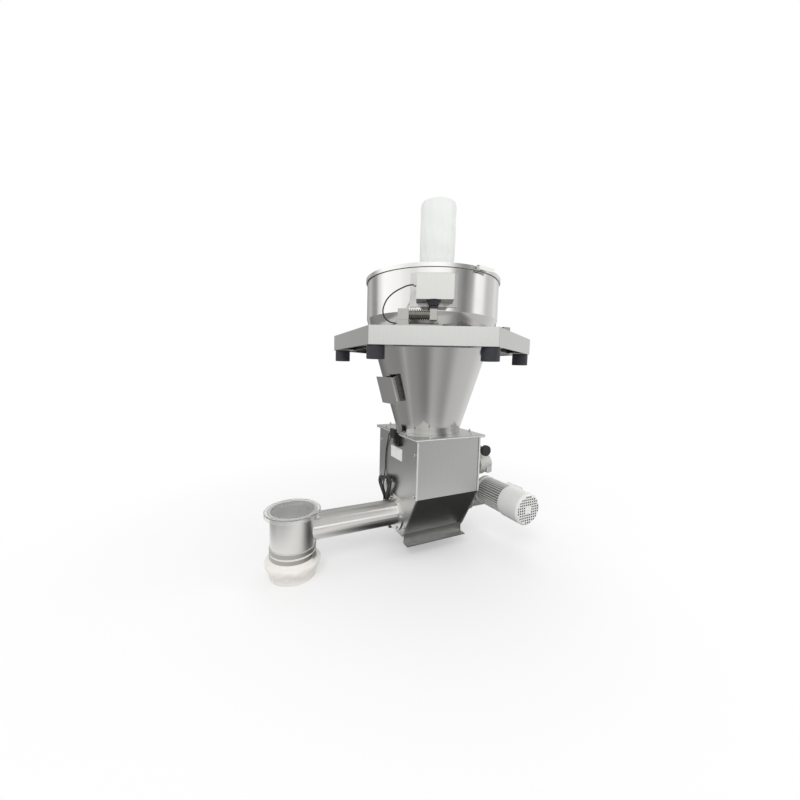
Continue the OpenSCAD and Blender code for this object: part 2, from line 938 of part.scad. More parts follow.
// Lead of the guard switch: down the plate, then a hank on its hook. The hank
// is drawn as one flat ring, two turns deep and five wide, its plug below it.
lead_r = 2.75;
hank_gap = 13.5;
hank_x = -drive_x - hank_gap;
hank_t = 4 * lead_r;
hank_band = 10 * lead_r;
hank_bend = 29;
hole_bend = 12.5;
hank_corners = [[34, -566], [122, -588], [64.5, -641]];
plug_r = 7;
plug_y = 70.5;
plug_top_z = -674;
plug_x = hank_x - hank_t - lead_r;
switch_cable_route = [
    [switch_x - switch_d / 2, switch_y + switch_w / 2 + gland_l, switch_top_z - gland_drop], [-187, 31, -333],
    [-184, 43, -336], [-180, 55, -342], [-175, 68, -353], [-171, 80, -369], [-169, 92, -390],
    [-168.2, 103, -415], [-168.4, 109, -445], [-168.6, 111, -480], [-169, 111, -520], [-172, 111, -548],
    [-175.3, 111.5, -566]
];

module switch_cable() {
    color(dark_rubber) cord(switch_cable_route, lead_r, 3, [1, 0, 0]);
}

// Outline of the hank: its corners' triangle moved in, then rounded by a bend.
module hank_outline(inset, bend) {
    offset(r = bend, $fn = 48) offset(delta = -inset) polygon(hank_corners);
}

module switch_cable_coil() {
    color(dark_rubber) {
        translate([hank_x - hank_t, 0, 0]) {
            rotate([90, 0, 90]) {
                linear_extrude(height = hank_t) {
                    difference() {
                        hank_outline(0, hank_bend);
                        hank_outline(hank_band - hank_bend + hole_bend, hole_bend);
                    }
                }
            }
        }
    }
}

module switch_plug() {
    nut_h = 16;
    plug_l = 46;
    tail_z = -652;
    color(dark_rubber) {
        translate([plug_x, plug_y, plug_top_z - plug_l]) {
            cylinder(r = 5, h = plug_l);
            cylinder(r = plug_r, h = nut_h);
            translate([0, 0, nut_h + 2]) cylinder(r = plug_r - 1, h = 15);
            translate([0, 0, plug_l - eps]) cylinder(r = lead_r - 0.1, h = tail_z - plug_top_z);
        }
    }
}

// Peg through the hank's upper corner, with a plate that keeps the turns on.
module cable_hook() {
    peg_r = 4;
    peg_y = 53;
    peg_z = -574;
    lip_t = 2;
    lip = [16, 22];
    reach = hank_t - hank_x - drive_x + 1;
    color(bright_steel) {
        translate([-drive_x - reach, peg_y, peg_z]) rotate([0, 90, 0]) cylinder(r = peg_r, h = reach);
        translate([-drive_x - reach - lip_t + eps, peg_y - lip[0] / 2, peg_z - peg_r]) {
            cube([lip_t, lip[0], lip[1]]);
        }
    }
}

// Tube from the trough to the outlet, with the flange bolted to the plate.
tube_flange_r = 84;
tube_flange_t = 6;
tube_bolt_pcd = 2 * 71;
tube_bolts = 6;

module screw_tube() {
    color(steel) {
        difference() {
            union() {
                translate([-outlet_x, 0, screw_z]) {
                    rotate([0, 90, 0]) cylinder(r = tube_r, h = outlet_x - drive_x);
                }
                translate([-drive_x - tube_flange_t, 0, screw_z]) {
                    rotate([0, 90, 0]) cylinder(r = tube_flange_r, h = tube_flange_t);
                }
                for (k = [0:tube_bolts - 1]) {
                    translate([-drive_x - tube_flange_t - 6, 0, screw_z]) {
                        rotate([60 * k, 0, 0]) {
                            translate([0, -tube_bolt_pcd / 2, 0]) {
                                rotate([0, 90, 0]) cylinder(r = 6.5, h = 7, $fn = 6);
                            }
                        }
                    }
                }
            }
            translate([-outlet_x, 0, screw_z]) {
                rotate([0, 90, 0]) cylinder(r = tube_bore_r, h = outlet_x);
            }
            translate([-outlet_x, 0, screw_z - outlet_r - 20]) cylinder(r = outlet_r, h = 2 * outlet_r + 40);
        }
    }
}

outlet_top_z = screw_z + outlet_up;
outlet_end_z = screw_z - outlet_down;
outlet_rim_r = outlet_r + 10;

module outlet_tube() {
    rim = 4;
    color(steel) {
        difference() {
            union() {
                translate([-outlet_x, 0, outlet_end_z]) cylinder(r = outlet_r, h = outlet_top_z - outlet_end_z);
                translate([-outlet_x, 0, outlet_top_z - rim]) cylinder(r = outlet_rim_r, h = rim);
            }
            translate([-outlet_x, 0, outlet_end_z - 1]) {
                cylinder(r = outlet_r - tube_wall, h = outlet_top_z - outlet_end_z + 2);
            }
            translate([-outlet_x, 0, screw_z]) {
                rotate([0, 90, 0]) cylinder(r = tube_bore_r, h = outlet_r + 10);
            }
        }
    }
}

module sight_cap() {
    spigot_h = 14;
    spigot_r = outlet_r - tube_wall - free_gap;
    skirt = 12;
    color([0.85, 0.9, 0.92, 0.4]) {
        translate([-outlet_x, 0, outlet_top_z + loose_gap]) {
            rotate_extrude() {
                polygon([
                    [0, 0], [spigot_r - 4, 0], [spigot_r - 4, -spigot_h], [spigot_r, -spigot_h],
                    [spigot_r, 0], [cap_r - 4, 0], [cap_r - 4, -skirt], [cap_r, -skirt],
                    [cap_r, cap_t - 2], [cap_r - 2, cap_t], [0, cap_t]
                ]);
            }
        }
    }
}

// Outlet sleeve: cuff under the two bands, one bulge, then a hem.
cuff_t = 2;
cuff_l = 14;
seam_gap = 1.5;
cuff_r = outlet_r + loose_gap;
sleeve_top_z = screw_z - tube_r - seam_gap;
sleeve_bottom_z = sleeve_top_z - sleeve_h;
band_gap = 8;
upper_band_h = 17;
lower_band_h = 16;
upper_band_z = sleeve_top_z - upper_band_h - 1;
lower_band_z = upper_band_z - band_gap - lower_band_h;

module outlet_sleeve() {
    bulge_z = lower_band_z - 24;
    w = cuff_t;
    color("white") {
        translate([-outlet_x, 0, 0]) {
            rotate_extrude() {
                polygon([
                    [cuff_r, sleeve_top_z], [cuff_r + w, sleeve_top_z], [cuff_r + w, lower_band_z - 1],
                    [sleeve_r - 6, bulge_z + 11], [sleeve_r, bulge_z + 2], [sleeve_r - 1, bulge_z - 8],
                    [sleeve_r - 10, bulge_z - 24], [cuff_r + w, sleeve_bottom_z + cuff_l + 1],
                    [cuff_r + w, sleeve_bottom_z], [cuff_r, sleeve_bottom_z],
                    [cuff_r, sleeve_bottom_z + cuff_l], [sleeve_r - 12, bulge_z - 23],
                    [sleeve_r - 3, bulge_z - 7], [sleeve_r - 2, bulge_z + 1],
                    [sleeve_r - 8, bulge_z + 9], [cuff_r, lower_band_z - 3]
                ]);
            }
        }
    }
}

module upper_hose_clamp() {
    color(bright_steel) band(-outlet_x, 0, upper_band_z, cuff_r + cuff_t, upper_band_h, 20);
}

module lower_hose_clamp() {
    color(bright_steel) band(-outlet_x, 0, lower_band_z, cuff_r + cuff_t, lower_band_h, 320);
}

// Metering screw: shaft on its bearing at the drive end, flight welded round it.
gearbox_x = drive_x + lantern_l;
gearbox_mid_x = gearbox_x + gearbox_w / 2;
screw_start_x = -outlet_x + outlet_r - tube_wall - 4;
flight_steps = 20;
flight_core_r = (screw_shaft_r + 0.1) / cos(180 / flight_steps);
flight_end_x = half_l - 6;
quill_r = screw_shaft_r - 2.5;

module screw_shaft() {
    color(bright_steel) {
        translate([screw_start_x, 0, screw_z]) {
            rotate([0, 90, 0]) cylinder(r = screw_shaft_r, h = gearbox_x - 2 - screw_start_x);
        }
        translate([gearbox_x - 2 - eps, 0, screw_z]) {
            rotate([0, 90, 0]) cylinder(r = quill_r, h = gearbox_w + 6);
        }
    }
}

// Helicoid strip: each ring has four corners, inner and outer, front and back.
// Its core is widened so that the chords between rings clear the shaft.
module screw_flight() {
    run = flight_end_x - screw_start_x;
    count = floor(run / screw_pitch * flight_steps);
    corners = [[flight_core_r, 0], [screw_r, 0], [screw_r, flight_t], [flight_core_r, flight_t]];
    points = [
        for (i = [0:count], c = corners)
            let (a = 360 * i / flight_steps, x = screw_start_x + i * screw_pitch / flight_steps + c[1])
            [x, c[0] * cos(a), screw_z + c[0] * sin(a)]
    ];
    skin = [
        for (i = [0:count - 1], k = [0:3], half = [0, 1])
            let (m = (k + 1) % 4, a = 4 * i, b = a + 4)
            half == 0 ? [a + k, a + m, b + m] : [a + k, b + m, b + k]
    ];
    last = 4 * count;
    ends = [[3, 2, 1], [3, 1, 0], [last, last + 1, last + 2], [last, last + 2, last + 3]];
    color(bright_steel) polyhedron(points = points, faces = concat(skin, ends));
}

module screw_lantern() {
    rim = 10;
    rim_r = 62;
    body_r = 42;
    window = 40;
    color(cast_grey) {
        translate([drive_x, 0, screw_z]) {
            rotate([0, 90, 0]) {
                difference() {
                    union() {
                        cylinder(r = rim_r, h = rim);
                        cylinder(r = body_r, h = lantern_l);
                        translate([0, 0, lantern_l - rim]) cylinder(r = rim_r - 8, h = rim);
                    }
                    translate([0, 0, -1]) cylinder(r = screw_shaft_r + run_gap, h = lantern_l + 2);
                    translate([0, 0, rim + 14]) cylinder(r = body_r - 9, h = lantern_l - 2 * rim - 28);
                    translate([-window / 2, -body_r - 1, rim + 18]) {
                        cube([window, 2 * body_r + 2, lantern_l - 2 * rim - 36]);
                    }
                }
            }
        }
    }
}

// Worm gearbox with its hollow shaft on the screw and its flange on the motor.
motor_z = screw_z + worm_up;
motor_x = gearbox_mid_x;
motor_flange_r = 70;
shaft_end_y = -30;

module screw_gearbox() {
    wheel_r = 46;
    barrel_r = 37;
    barrel_back = 60;
    flange_d = 12;
    color(cast_grey) {
        difference() {
            union() {
                translate([gearbox_x, 0, screw_z]) rotate([0, 90, 0]) cylinder(r = wheel_r - 2, h = gearbox_w);
                translate([gearbox_x + 14, 0, screw_z]) {
                    rotate([0, 90, 0]) cylinder(r = wheel_r, h = gearbox_w - 28);
                }
                translate([motor_x, barrel_back, motor_z]) {
                    rotate([90, 0, 0]) cylinder(r = barrel_r, h = barrel_back + motor_y - flange_d);
                }
                translate([motor_x - barrel_r, -wheel_r + 4, screw_z]) {
                    cube([2 * barrel_r, 2 * wheel_r - 8, worm_up]);
                }
                translate([motor_x, -motor_y + flange_d, motor_z]) {
                    rotate([90, 0, 0]) cylinder(r = motor_flange_r, h = flange_d);
                }
            }
            translate([gearbox_x - 1, 0, screw_z]) {
                rotate([0, 90, 0]) cylinder(r = quill_r + run_gap, h = gearbox_w + 2);
            }
            translate([motor_x, shaft_end_y + 2, motor_z]) {
                rotate([90, 0, 0]) cylinder(r = motor_shaft_r + run_gap, h = motor_y);
            }
        }
    }
}

// Motor: front shield, finned body, rear shield that carries the cowl.
shield_t = 10;
fin_core_r = 57;
cowl_y = motor_y + motor_l - 4;
cowl_end_y = cowl_y + cowl_l;

module motor_body() {
    fin_t = 2.2;
    fin_l = motor_l - 2 * shield_t;
    color(motor_grey) {
        translate([motor_x, -motor_y, motor_z]) {
            rotate([90, 0, 0]) {
                difference() {
                    union() {
                        cylinder(r = motor_flange_r, h = shield_t);
                        cylinder(r = fin_core_r, h = motor_l);
                        for (k = [0:fin_count - 1]) {
                            rotate([0, 0, 360 / fin_count * k]) {
                                translate([fin_core_r - 2, -fin_t / 2, shield_t - 1]) {
                                    cube([motor_r - fin_core_r + 2, fin_t, fin_l + 2]);
                                }
                            }
                        }
                        translate([0, 0, motor_l - shield_t]) {
                            cylinder(r = cowl_r - 2 - 0.2, h = shield_t);
                        }
                    }
                    translate([0, 0, -1]) cylinder(r = motor_shaft_r + run_gap, h = motor_l + 2);
                }
            }
        }
    }
}

module motor_rotor() {
    blades = 8;
    fan_y = cowl_end_y - 46;
    blade_l = 30;
    fan_r = 58;
    hub_r = 17;
    color([0.2, 0.2, 0.22]) {
        translate([motor_x, shaft_end_y, motor_z]) {
            rotate([90, 0, 0]) cylinder(r = motor_shaft_r, h = cowl_end_y - 12 + shaft_end_y);
        }
        translate([motor_x, -fan_y, motor_z]) {
            rotate([90, 0, 0]) {
                difference() {
                    union() {
                        cylinder(r = hub_r, h = blade_l);
                        cylinder(r = fan_r, h = 3);
                        for (k = [0:blades - 1]) {
                            rotate([0, 0, 360 / blades * k]) {
                                translate([hub_r - 2, -1.2, 0]) cube([fan_r - hub_r, 2.4, blade_l]);
                            }
                        }
                    }
                    translate([0, 0, -1]) cylinder(r = motor_shaft_r - eps, h = blade_l + 2);
                }
            }
        }
    }
}

module fan_cowl() {
    wall = 2;
    half_n = 5;
    hub_r = 21;
    color(motor_grey) {
        translate([motor_x, -cowl_y, motor_z]) {
            rotate([90, 0, 0]) {
                difference() {
                    rotate_extrude() {
                        polygon([
                            [cowl_r - wall, 0], [cowl_r, 0], [cowl_r, cowl_l - 8], [cowl_r - 8, cowl_l],
                            [0, cowl_l], [0, cowl_l - wall], [cowl_r - 9, cowl_l - wall],
                            [cowl_r - wall, cowl_l - 9]
                        ]);
                    }
                    for (i = [-half_n:half_n], j = [-half_n:half_n]) {
                        d = grille_pitch * norm([i, j]);
                        if (d > hub_r && d < cowl_r - 11) {
                            translate([i * grille_pitch, j * grille_pitch, cowl_l - wall / 2]) {
                                cube([grille_hole, grille_hole, 2 * wall], center = true);
                            }
                        }
                    }
                }
            }
        }
    }
}

module terminal_box() {
    box_l = 92;
    box_h = 84;
    box_d = 44;
    box_y = motor_y + 54;
    start_x = motor_x + fin_core_r - 6;
    color(motor_grey) {
        difference() {
            translate([start_x, -box_y - box_l, motor_z - box_h / 2]) {
                cube([box_d + 6, box_l, box_h]);
                translate([box_d + 6 - 8, -2, -2]) cube([8, box_l + 4, box_h + 4]);
            }
            translate([motor_x, -motor_y, motor_z]) rotate([90, 0, 0]) cylinder(r = motor_r + loose_gap, h = motor_l);
        }
    }
}

// Agitator: shaft with opposed arms, each arm with a flat paddle.
agitator_gearbox_x = drive_x + neck_l + clamp_w;
spigot_r = 38;

module agitator() {
    arms = 5;
    arm_r = 6;
    paddle = [46, 8, 22];
    first_x = -half_l + 36;
    step_x = (trough_l - 72) / (arms - 1);
    color(bright_steel) {
        translate([-half_l + 1, 0, agitator_z]) {
            rotate([0, 90, 0]) cylinder(r = agitator_shaft_r, h = agitator_gearbox_x + half_l - 5);
        }
        translate([agitator_gearbox_x - 5, 0, agitator_z]) {
            rotate([0, 90, 0]) cylinder(r = agitator_shaft_r - 4, h = agitator_box_w + 7);
        }
        for (k = [0:arms - 1]) {
            translate([first_x + k * step_x, 0, agitator_z]) {
                rotate([90 * (k % 2), 0, 0]) {
                    for (s = [0, 180]) {
                        rotate([s, 0, 0]) {
                            cylinder(r = arm_r, h = agitator_r - 8);
                            translate([0, 0, agitator_r - 10]) {
                                rotate([0, 0, 30]) cube([paddle[0], paddle[1], 16], center = true);
                            }
                        }
                    }
                }
            }
        }
    }
}

// Neck of the agitator drive, with a split clamp drawn shut by a fluted knob.
clamp_r = 56;
knob_up = 81;
ear_gap = 8;
ear_t = 18;
stud_r = 5;
clamp_x = drive_x + neck_l;
knob_y = -52;

module agitator_neck() {
    rim = 8;
    color(cast_grey) {
        translate([drive_x, 0, agitator_z]) {
            difference() {
                union() {
                    rotate([0, 90, 0]) {
                        cylinder(r = 58, h = rim);
                        cylinder(r = 32, h = neck_l + 1);
                        translate([0, 0, neck_l - 6]) cylinder(r = clamp_r, h = clamp_w + 6);
                    }
                    for (s = [-1, 1]) {
                        translate([neck_l, s * (ear_gap + ear_t) / 2 - ear_t / 2, 0]) {
                            cube([clamp_w, ear_t, knob_up + 14]);
                        }
                    }
                }
                rotate([0, 90, 0]) {
                    translate([0, 0, -1]) cylinder(r = agitator_shaft_r + run_gap, h = neck_l + 2);
                    translate([0, 0, neck_l]) cylinder(r = spigot_r + 0.1, h = clamp_w + 1);
                }
                translate([neck_l, -ear_gap / 2, 0]) cube([clamp_w + 1, ear_gap, 2 * knob_up]);
                translate([neck_l + clamp_w / 2, 40, knob_up]) {
                    rotate([90, 0, 0]) cylinder(r = stud_r + run_gap, h = 80);
                }
            }
        }
    }
}

agitator_worm_down = 22;

module agitator_gearbox() {
    barrel_r = 22;
    cover = 34;
    mid_x = agitator_gearbox_x + agitator_box_w / 2;
    color(cast_grey) {
        difference() {
            union() {
                translate([agitator_gearbox_x, 0, agitator_z]) {
                    rotate([0, 90, 0]) cylinder(r = agitator_box_r, h = agitator_box_w);
                }
                translate([agitator_gearbox_x - clamp_w + 0.5, 0, agitator_z]) {
                    rotate([0, 90, 0]) cylinder(r = spigot_r, h = clamp_w);
                }
                translate([mid_x, 58, agitator_z - agitator_worm_down]) {
                    rotate([90, 0, 0]) cylinder(r = barrel_r, h = 104);
                }
                translate([mid_x - cover / 2, -52, agitator_z - agitator_worm_down - cover / 2]) cube([cover, 8, cover]);
            }
            translate([agitator_gearbox_x - clamp_w - 1, 0, agitator_z]) {
                rotate([0, 90, 0]) cylinder(r = agitator_shaft_r + free_gap, h = clamp_w - 3);
            }
            translate([agitator_gearbox_x - clamp_w - 1, 0, agitator_z]) {
                rotate([0, 90, 0]) cylinder(r = agitator_shaft_r - 4 + run_gap, h = clamp_w + agitator_box_w + 2);
            }
        }
    }
}

module agitator_motor() {
    body_r = 44;
    body_l = 150;
    start_y = 58;
    mid_x = agitator_gearbox_x + agitator_box_w / 2;
    color(motor_grey) {
        translate([mid_x, start_y, agitator_z - agitator_worm_down]) {
            rotate([-90, 0, 0]) {
                cylinder(r = body_r + 4, h = 8);
                cylinder(r = body_r, h = body_l);
                translate([0, 0, body_l - 30]) cylinder(r = body_r + 3, h = 30);
            }
        }
    }
}

module clamp_knob() {
    flutes = 12;
    grip = 17;
    hub_l = -knob_y - ear_gap / 2 - ear_t - free_gap;
    stud_l = 2 * ear_t + ear_gap + hub_l + 3;
    color(dark_rubber) {
        translate([clamp_x + clamp_w / 2, knob_y, agitator_z + knob_up]) {
            rotate([90, 0, 0]) {
                difference() {
                    cylinder(r = knob_r, h = grip);
                    for (k = [0:flutes - 1]) {
                        rotate([0, 0, 360 / flutes * k]) {
                            translate([knob_r + 3, 0, -1]) cylinder(r = 5, h = grip + 2);
                        }
                    }
                }
                translate([0, 0, -hub_l]) cylinder(r = 10, h = hub_l + 1);
                translate([0, 0, -stud_l]) cylinder(r = stud_r, h = stud_l + 1);
            }
        }
    }
}

hopper_shell();
hopper_flange();
lid();
lid_seal();
clamp_ring();
ring_lever();
vent_stub();
filter_bag();
bag_clamp();
refill_spigot();
load_hood(station_angles[0]);  // load_hood_1
load_hood(station_angles[1]);  // load_hood_2
load_hood(station_angles[2]);  // load_hood_3
rubber_mount(station_angles[0]);  // rubber_mount_1
rubber_mount(station_angles[1]);  // rubber_mount_2
rubber_mount(station_angles[2]);  // rubber_mount_3
load_cell(station_angles[0]);  // load_cell_1
load_cell(station_angles[1]);  // load_cell_2
load_cell(station_angles[2]);  // load_cell_3
cell_bases();
cell_cable();
platform_frame();
platform_feet();
plate_holder();
trough_gasket();
trough_flange();
front_panel();
back_panel();
discharge_plate();
drive_plate();
front_rail();
back_rail();
screw_trough();
trough_bolts();
plate_screws();
guard_switch();
switch_cable();
switch_cable_coil();
switch_plug();
cable_hook();
screw_tube();
outlet_tube();
sight_cap();
upper_hose_clamp();
lower_hose_clamp();
outlet_sleeve();
screw_shaft();
screw_flight();
screw_lantern();
screw_gearbox();
motor_body();
motor_rotor();
fan_cowl();
terminal_box();
agitator();
agitator_neck();
agitator_gearbox();
agitator_motor();
clamp_knob();
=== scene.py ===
"""A screw feeder hung in a weighing platform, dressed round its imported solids."""
import json
import math

import bmesh
import bpy
import numpy as np
from mathutils import Matrix, Vector


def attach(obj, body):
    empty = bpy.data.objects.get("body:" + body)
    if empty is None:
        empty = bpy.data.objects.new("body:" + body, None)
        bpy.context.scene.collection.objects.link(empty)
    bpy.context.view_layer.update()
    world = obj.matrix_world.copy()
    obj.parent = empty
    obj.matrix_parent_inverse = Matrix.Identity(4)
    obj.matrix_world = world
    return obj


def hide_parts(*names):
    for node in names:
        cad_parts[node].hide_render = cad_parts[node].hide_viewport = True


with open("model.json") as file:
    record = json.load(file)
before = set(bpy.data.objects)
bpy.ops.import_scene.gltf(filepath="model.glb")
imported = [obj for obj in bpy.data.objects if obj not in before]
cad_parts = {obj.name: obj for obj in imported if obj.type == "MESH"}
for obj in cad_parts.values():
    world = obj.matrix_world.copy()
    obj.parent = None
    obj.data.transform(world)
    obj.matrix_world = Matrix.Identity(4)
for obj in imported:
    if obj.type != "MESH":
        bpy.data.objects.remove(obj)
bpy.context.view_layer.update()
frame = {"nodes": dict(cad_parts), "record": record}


# Camera
# The photograph is a wide view from the front left, at the height of the
# cone's top, with the camera tipped a little down and to one side.

EYE = Vector((-0.8266, -1.3538, -0.0478))
YAW, PITCH, ROLL = 0.462, -0.083, 0.025

camera_data = bpy.data.cameras.new("camera")
camera_data.sensor_width = 36.0
camera_data.lens = 14.85
camera_data.clip_start = 0.01
camera = bpy.data.objects.new("camera", camera_data)
bpy.context.scene.collection.objects.link(camera)
bpy.context.scene.camera = camera

level_ahead = Vector((math.sin(YAW), math.cos(YAW), 0.0))
level_right = Vector((math.cos(YAW), -math.sin(YAW), 0.0))
ahead = level_ahead * math.cos(PITCH) + Vector((0, 0, math.sin(PITCH)))
above = Vector((0, 0, math.cos(PITCH))) - level_ahead * math.sin(PITCH)
right = level_right * math.cos(ROLL) + above * math.sin(ROLL)
above = above * math.cos(ROLL) - level_right * math.sin(ROLL)
camera.matrix_world = Matrix.Translation(EYE) @ Matrix((right, above, -ahead)).transposed().to_4x4()


# Cable of the front load cell
# A round instrument cable in a black jacket. It leaves the hood's gland, sags
# in one free bow beside the weigh station and enters the foot of the cell.

def linear(hex_colour):
    """The RGBA that Blender works in, from an sRGB hex colour."""
    parts = [int(hex_colour[i:i + 2], 16) / 255 for i in (1, 3, 5)]
    return [p / 12.92 if p <= 0.04045 else ((p + 0.055) / 1.055) ** 2.4 for p in parts] + [1.0]


def add_node(tree, kind, inputs=None, **settings):
    """Adds a node, sets it, and gives each input a value or another node's output."""
    made = tree.nodes.new(kind)
    for name, value in settings.items():
        setattr(made, name, value)
    for name, value in (inputs or {}).items():
        if isinstance(value, bpy.types.NodeSocket):
            tree.links.new(value, made.inputs[name])
        else:
            made.inputs[name].default_value = value
    return made


def begin_material(name, **sockets):
    """A material with one Principled shader, its tree and the piece's own coordinates."""
    made = bpy.data.materials.new(name)
    made.use_nodes = True
    tree = made.node_tree
    shader = tree.nodes["Principled BSDF"]
    for socket, value in sockets.items():
        shader.inputs[socket.replace("_", " ")].default_value = value
    return made, tree, shader, tree.nodes.new("ShaderNodeTexCoord").outputs["Object"]


def through(points, steps):
    """Points on the smooth curve through the given ones: a cubic between each two,
    whose slope at a point is half the way from its neighbour before to the one after."""
    p = np.asarray(points, float)
    p = np.vstack([p[:1], p, p[-1:]])
    t = np.linspace(0, 1, steps, endpoint=False)[None, :, None]
    a, b, c, d = (p[i:len(p) - 3 + i, None, :] for i in range(4))
    curve = 0.5 * (2 * b + (c - a) * t + (2 * a - 5 * b + 4 * c - d) * t ** 2
                   + (3 * b - a - 3 * c + d) * t ** 3)
    return np.vstack([curve.reshape(-1, 3), p[-1:]])


def cord_curve(name, line, radius):
    """A round cord as a curve of one open spline along the line."""
    data = bpy.data.curves.new(name, "CURVE")
    data.dimensions = "3D"
    data.bevel_depth = radius
    data.bevel_resolution = 4
    data.use_fill_caps = True
    spline = data.splines.new("POLY")
    spline.points.add(len(line) - 1)
    spline.points.foreach_set("co", np.hstack([line, np.ones((len(line), 1))]).ravel())
    made = bpy.data.objects.new(name, data)
    bpy.context.scene.collection.objects.link(made)
    return made


# Soft PVC: near black, with the dull shine of a jacket that was handled.
cable_pvc, tree, shader, here = begin_material("cable_jacket_pvc", Base_Color=linear("#161719"), IOR=1.53)
smudge = add_node(tree, "ShaderNodeTexNoise", {"Vector": here, "Scale": 90.0, "Detail": 3.0})
tree.links.new(add_node(tree, "ShaderNodeMapRange", {"Value": smudge.outputs["Fac"], "To Min": 0.34,
                                                    "To Max": 0.52}).outputs["Result"],
               shader.inputs["Roughness"])

STATION, CELL_CABLE_RADIUS = math.radians(240), 0.00265
station_turn = np.array([[math.cos(STATION), -math.sin(STATION), 0],
                         [math.sin(STATION), math.cos(STATION), 0], [0, 0, 1]])
cell_route = np.array([
    [352, -75.5, 272], [352, -86, 271.6], [351, -102, 268], [350, -120, 260], [349, -138, 251],
    [348, -156, 238], [347, -172, 221], [347, -182, 201], [347, -187, 180], [347, -184, 162],
    [348, -174, 148], [350, -160, 138], [352, -146, 134], [352, -136, 134]]) / 1000
cell_line = through(cell_route @ station_turn.T, 8)
cell_cable = cord_curve("cell_cable_jacket", cell_line, CELL_CABLE_RADIUS)
cell_cable.data.materials.append(cable_pvc)
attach(cell_cable, "machine")
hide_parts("cell_cable")


# Lead of the guard switch
# A PVC lead of 3.4 m, moulded into the switch. It runs down the discharge plate,
# goes behind the hank and makes just over nine turns, which hang on a steel peg.

HANK_BACK_X, LEAD_PITCH, LEAD_RADIUS = -0.1785, 0.0055, 0.0026
HANK_CORNERS = np.array([[0.0645, -0.641], [0.122, -0.588], [0.034, -0.566]])
HANK_BEND, TIGHTEST_BEND = 0.029, 0.01525
ARC_POINTS, SIDE_POINTS = 16, 12
LOOP_POINTS = 3 * (ARC_POINTS + SIDE_POINTS)
FIRST_SIDE, LOWER_SIDE, LEFT_SIDE, UPPER_SIDE = (0.0, 0.2), (0.1, 0.25), (0.44, 0.58), (0.76, 0.91)
LAST_TURN_POINTS, POINT_SPACING = ARC_POINTS // 2 + 4, 0.006


def hull_outline(corners, bend):
    """The tight loop round three circles of one radius, anticlockwise: round each circle an arc
    to the tangent that it shares with the next circle, then that tangent."""
    ways = np.roll(corners, -1, 0) - corners
    ways /= np.linalg.norm(ways, axis=1)[:, None]
    leaves = np.stack([ways[:, 1], -ways[:, 0]], 1)
    points = []
    for i in range(3):
        start, end = (math.atan2(*leaves[k][::-1]) for k in (i - 1, i))
        turn = np.linspace(start, end + (2 * math.pi if end < start else 0), ARC_POINTS)
        points.append(corners[i] + bend * np.stack([np.cos(turn), np.sin(turn)], 1))
        along = np.linspace(0, 1, SIDE_POINTS + 2)[1:-1, None]
        points.append(corners[i] + bend * leaves[i] + along * (corners[(i + 1) % 3] - corners[i]))
    return np.vstack(points)


def strand(rank):
    """One turn of the hank as a flat loop, so many leads in from the outermost one. Each bends a
    lead tighter than the last, down to the tightest bend; from there the corners move in instead."""
    facing = np.linalg.norm(np.roll(HANK_CORNERS, -1, 0) - np.roll(HANK_CORNERS, 1, 0), axis=1)
    middle = facing @ HANK_CORNERS / facing.sum()
    (y1, z1), (y2, z2) = HANK_CORNERS[1:] - HANK_CORNERS[0]
    inradius = (y1 * z2 - y2 * z1) / facing.sum()
    bend = HANK_BEND - (rank + 0.5) * LEAD_PITCH
    shrink = max(TIGHTEST_BEND - bend, 0) / inradius
    return hull_outline(middle + (HANK_CORNERS - middle) * (1 - shrink), max(bend, TIGHTEST_BEND))


def eased(where, start, end):
    """0 before the start, 1 after the end, and smooth between."""
    t = np.clip((where - start) / (end - start), 0, 1)
    return t * t * (3 - 2 * t)


def hank_turns(places):
    """The lead's way round the hank, a turn for each step from one place (rank, layer) to the next,
    resampled evenly. A turn starts on the outer side of the right-hand corner and runs clockwise. It
    changes its rank on the lower side in front or the upper side behind, and its layer on the left."""
    order = (ARC_POINTS + SIDE_POINTS + ARC_POINTS // 2 - np.arange(LOOP_POINTS)) % LOOP_POINTS
    where = np.arange(LOOP_POINTS) / LOOP_POINTS
    turns = []
    for (rank, layer), (next_rank, next_layer) in zip(places[:-1], places[1:]):
        change = LEFT_SIDE if next_layer > layer else UPPER_SIDE if layer == 0 else LOWER_SIDE
        ease = eased(where, *change)[:, None]
        flat = strand(rank)[order] * (1 - ease) + strand(next_rank)[order] * ease
        turns.append(np.hstack([HANK_BACK_X - (layer + 0.5 + (next_layer - layer) * ease) * LEAD_PITCH,
                                flat]))
    turns[0][:, 0] += LEAD_PITCH * (1 - eased(where, *FIRST_SIDE))
    turns = np.vstack(turns)[:LAST_TURN_POINTS - LOOP_POINTS]
    run = np.concatenate([[0], np.cumsum(np.linalg.norm(np.diff(turns, axis=0), axis=1))])
    evenly = np.linspace(0, run[-1], int(run[-1] / POINT_SPACING))
    return np.stack([np.interp(evenly, run, turns[:, k]) for k in range(3)], 1)


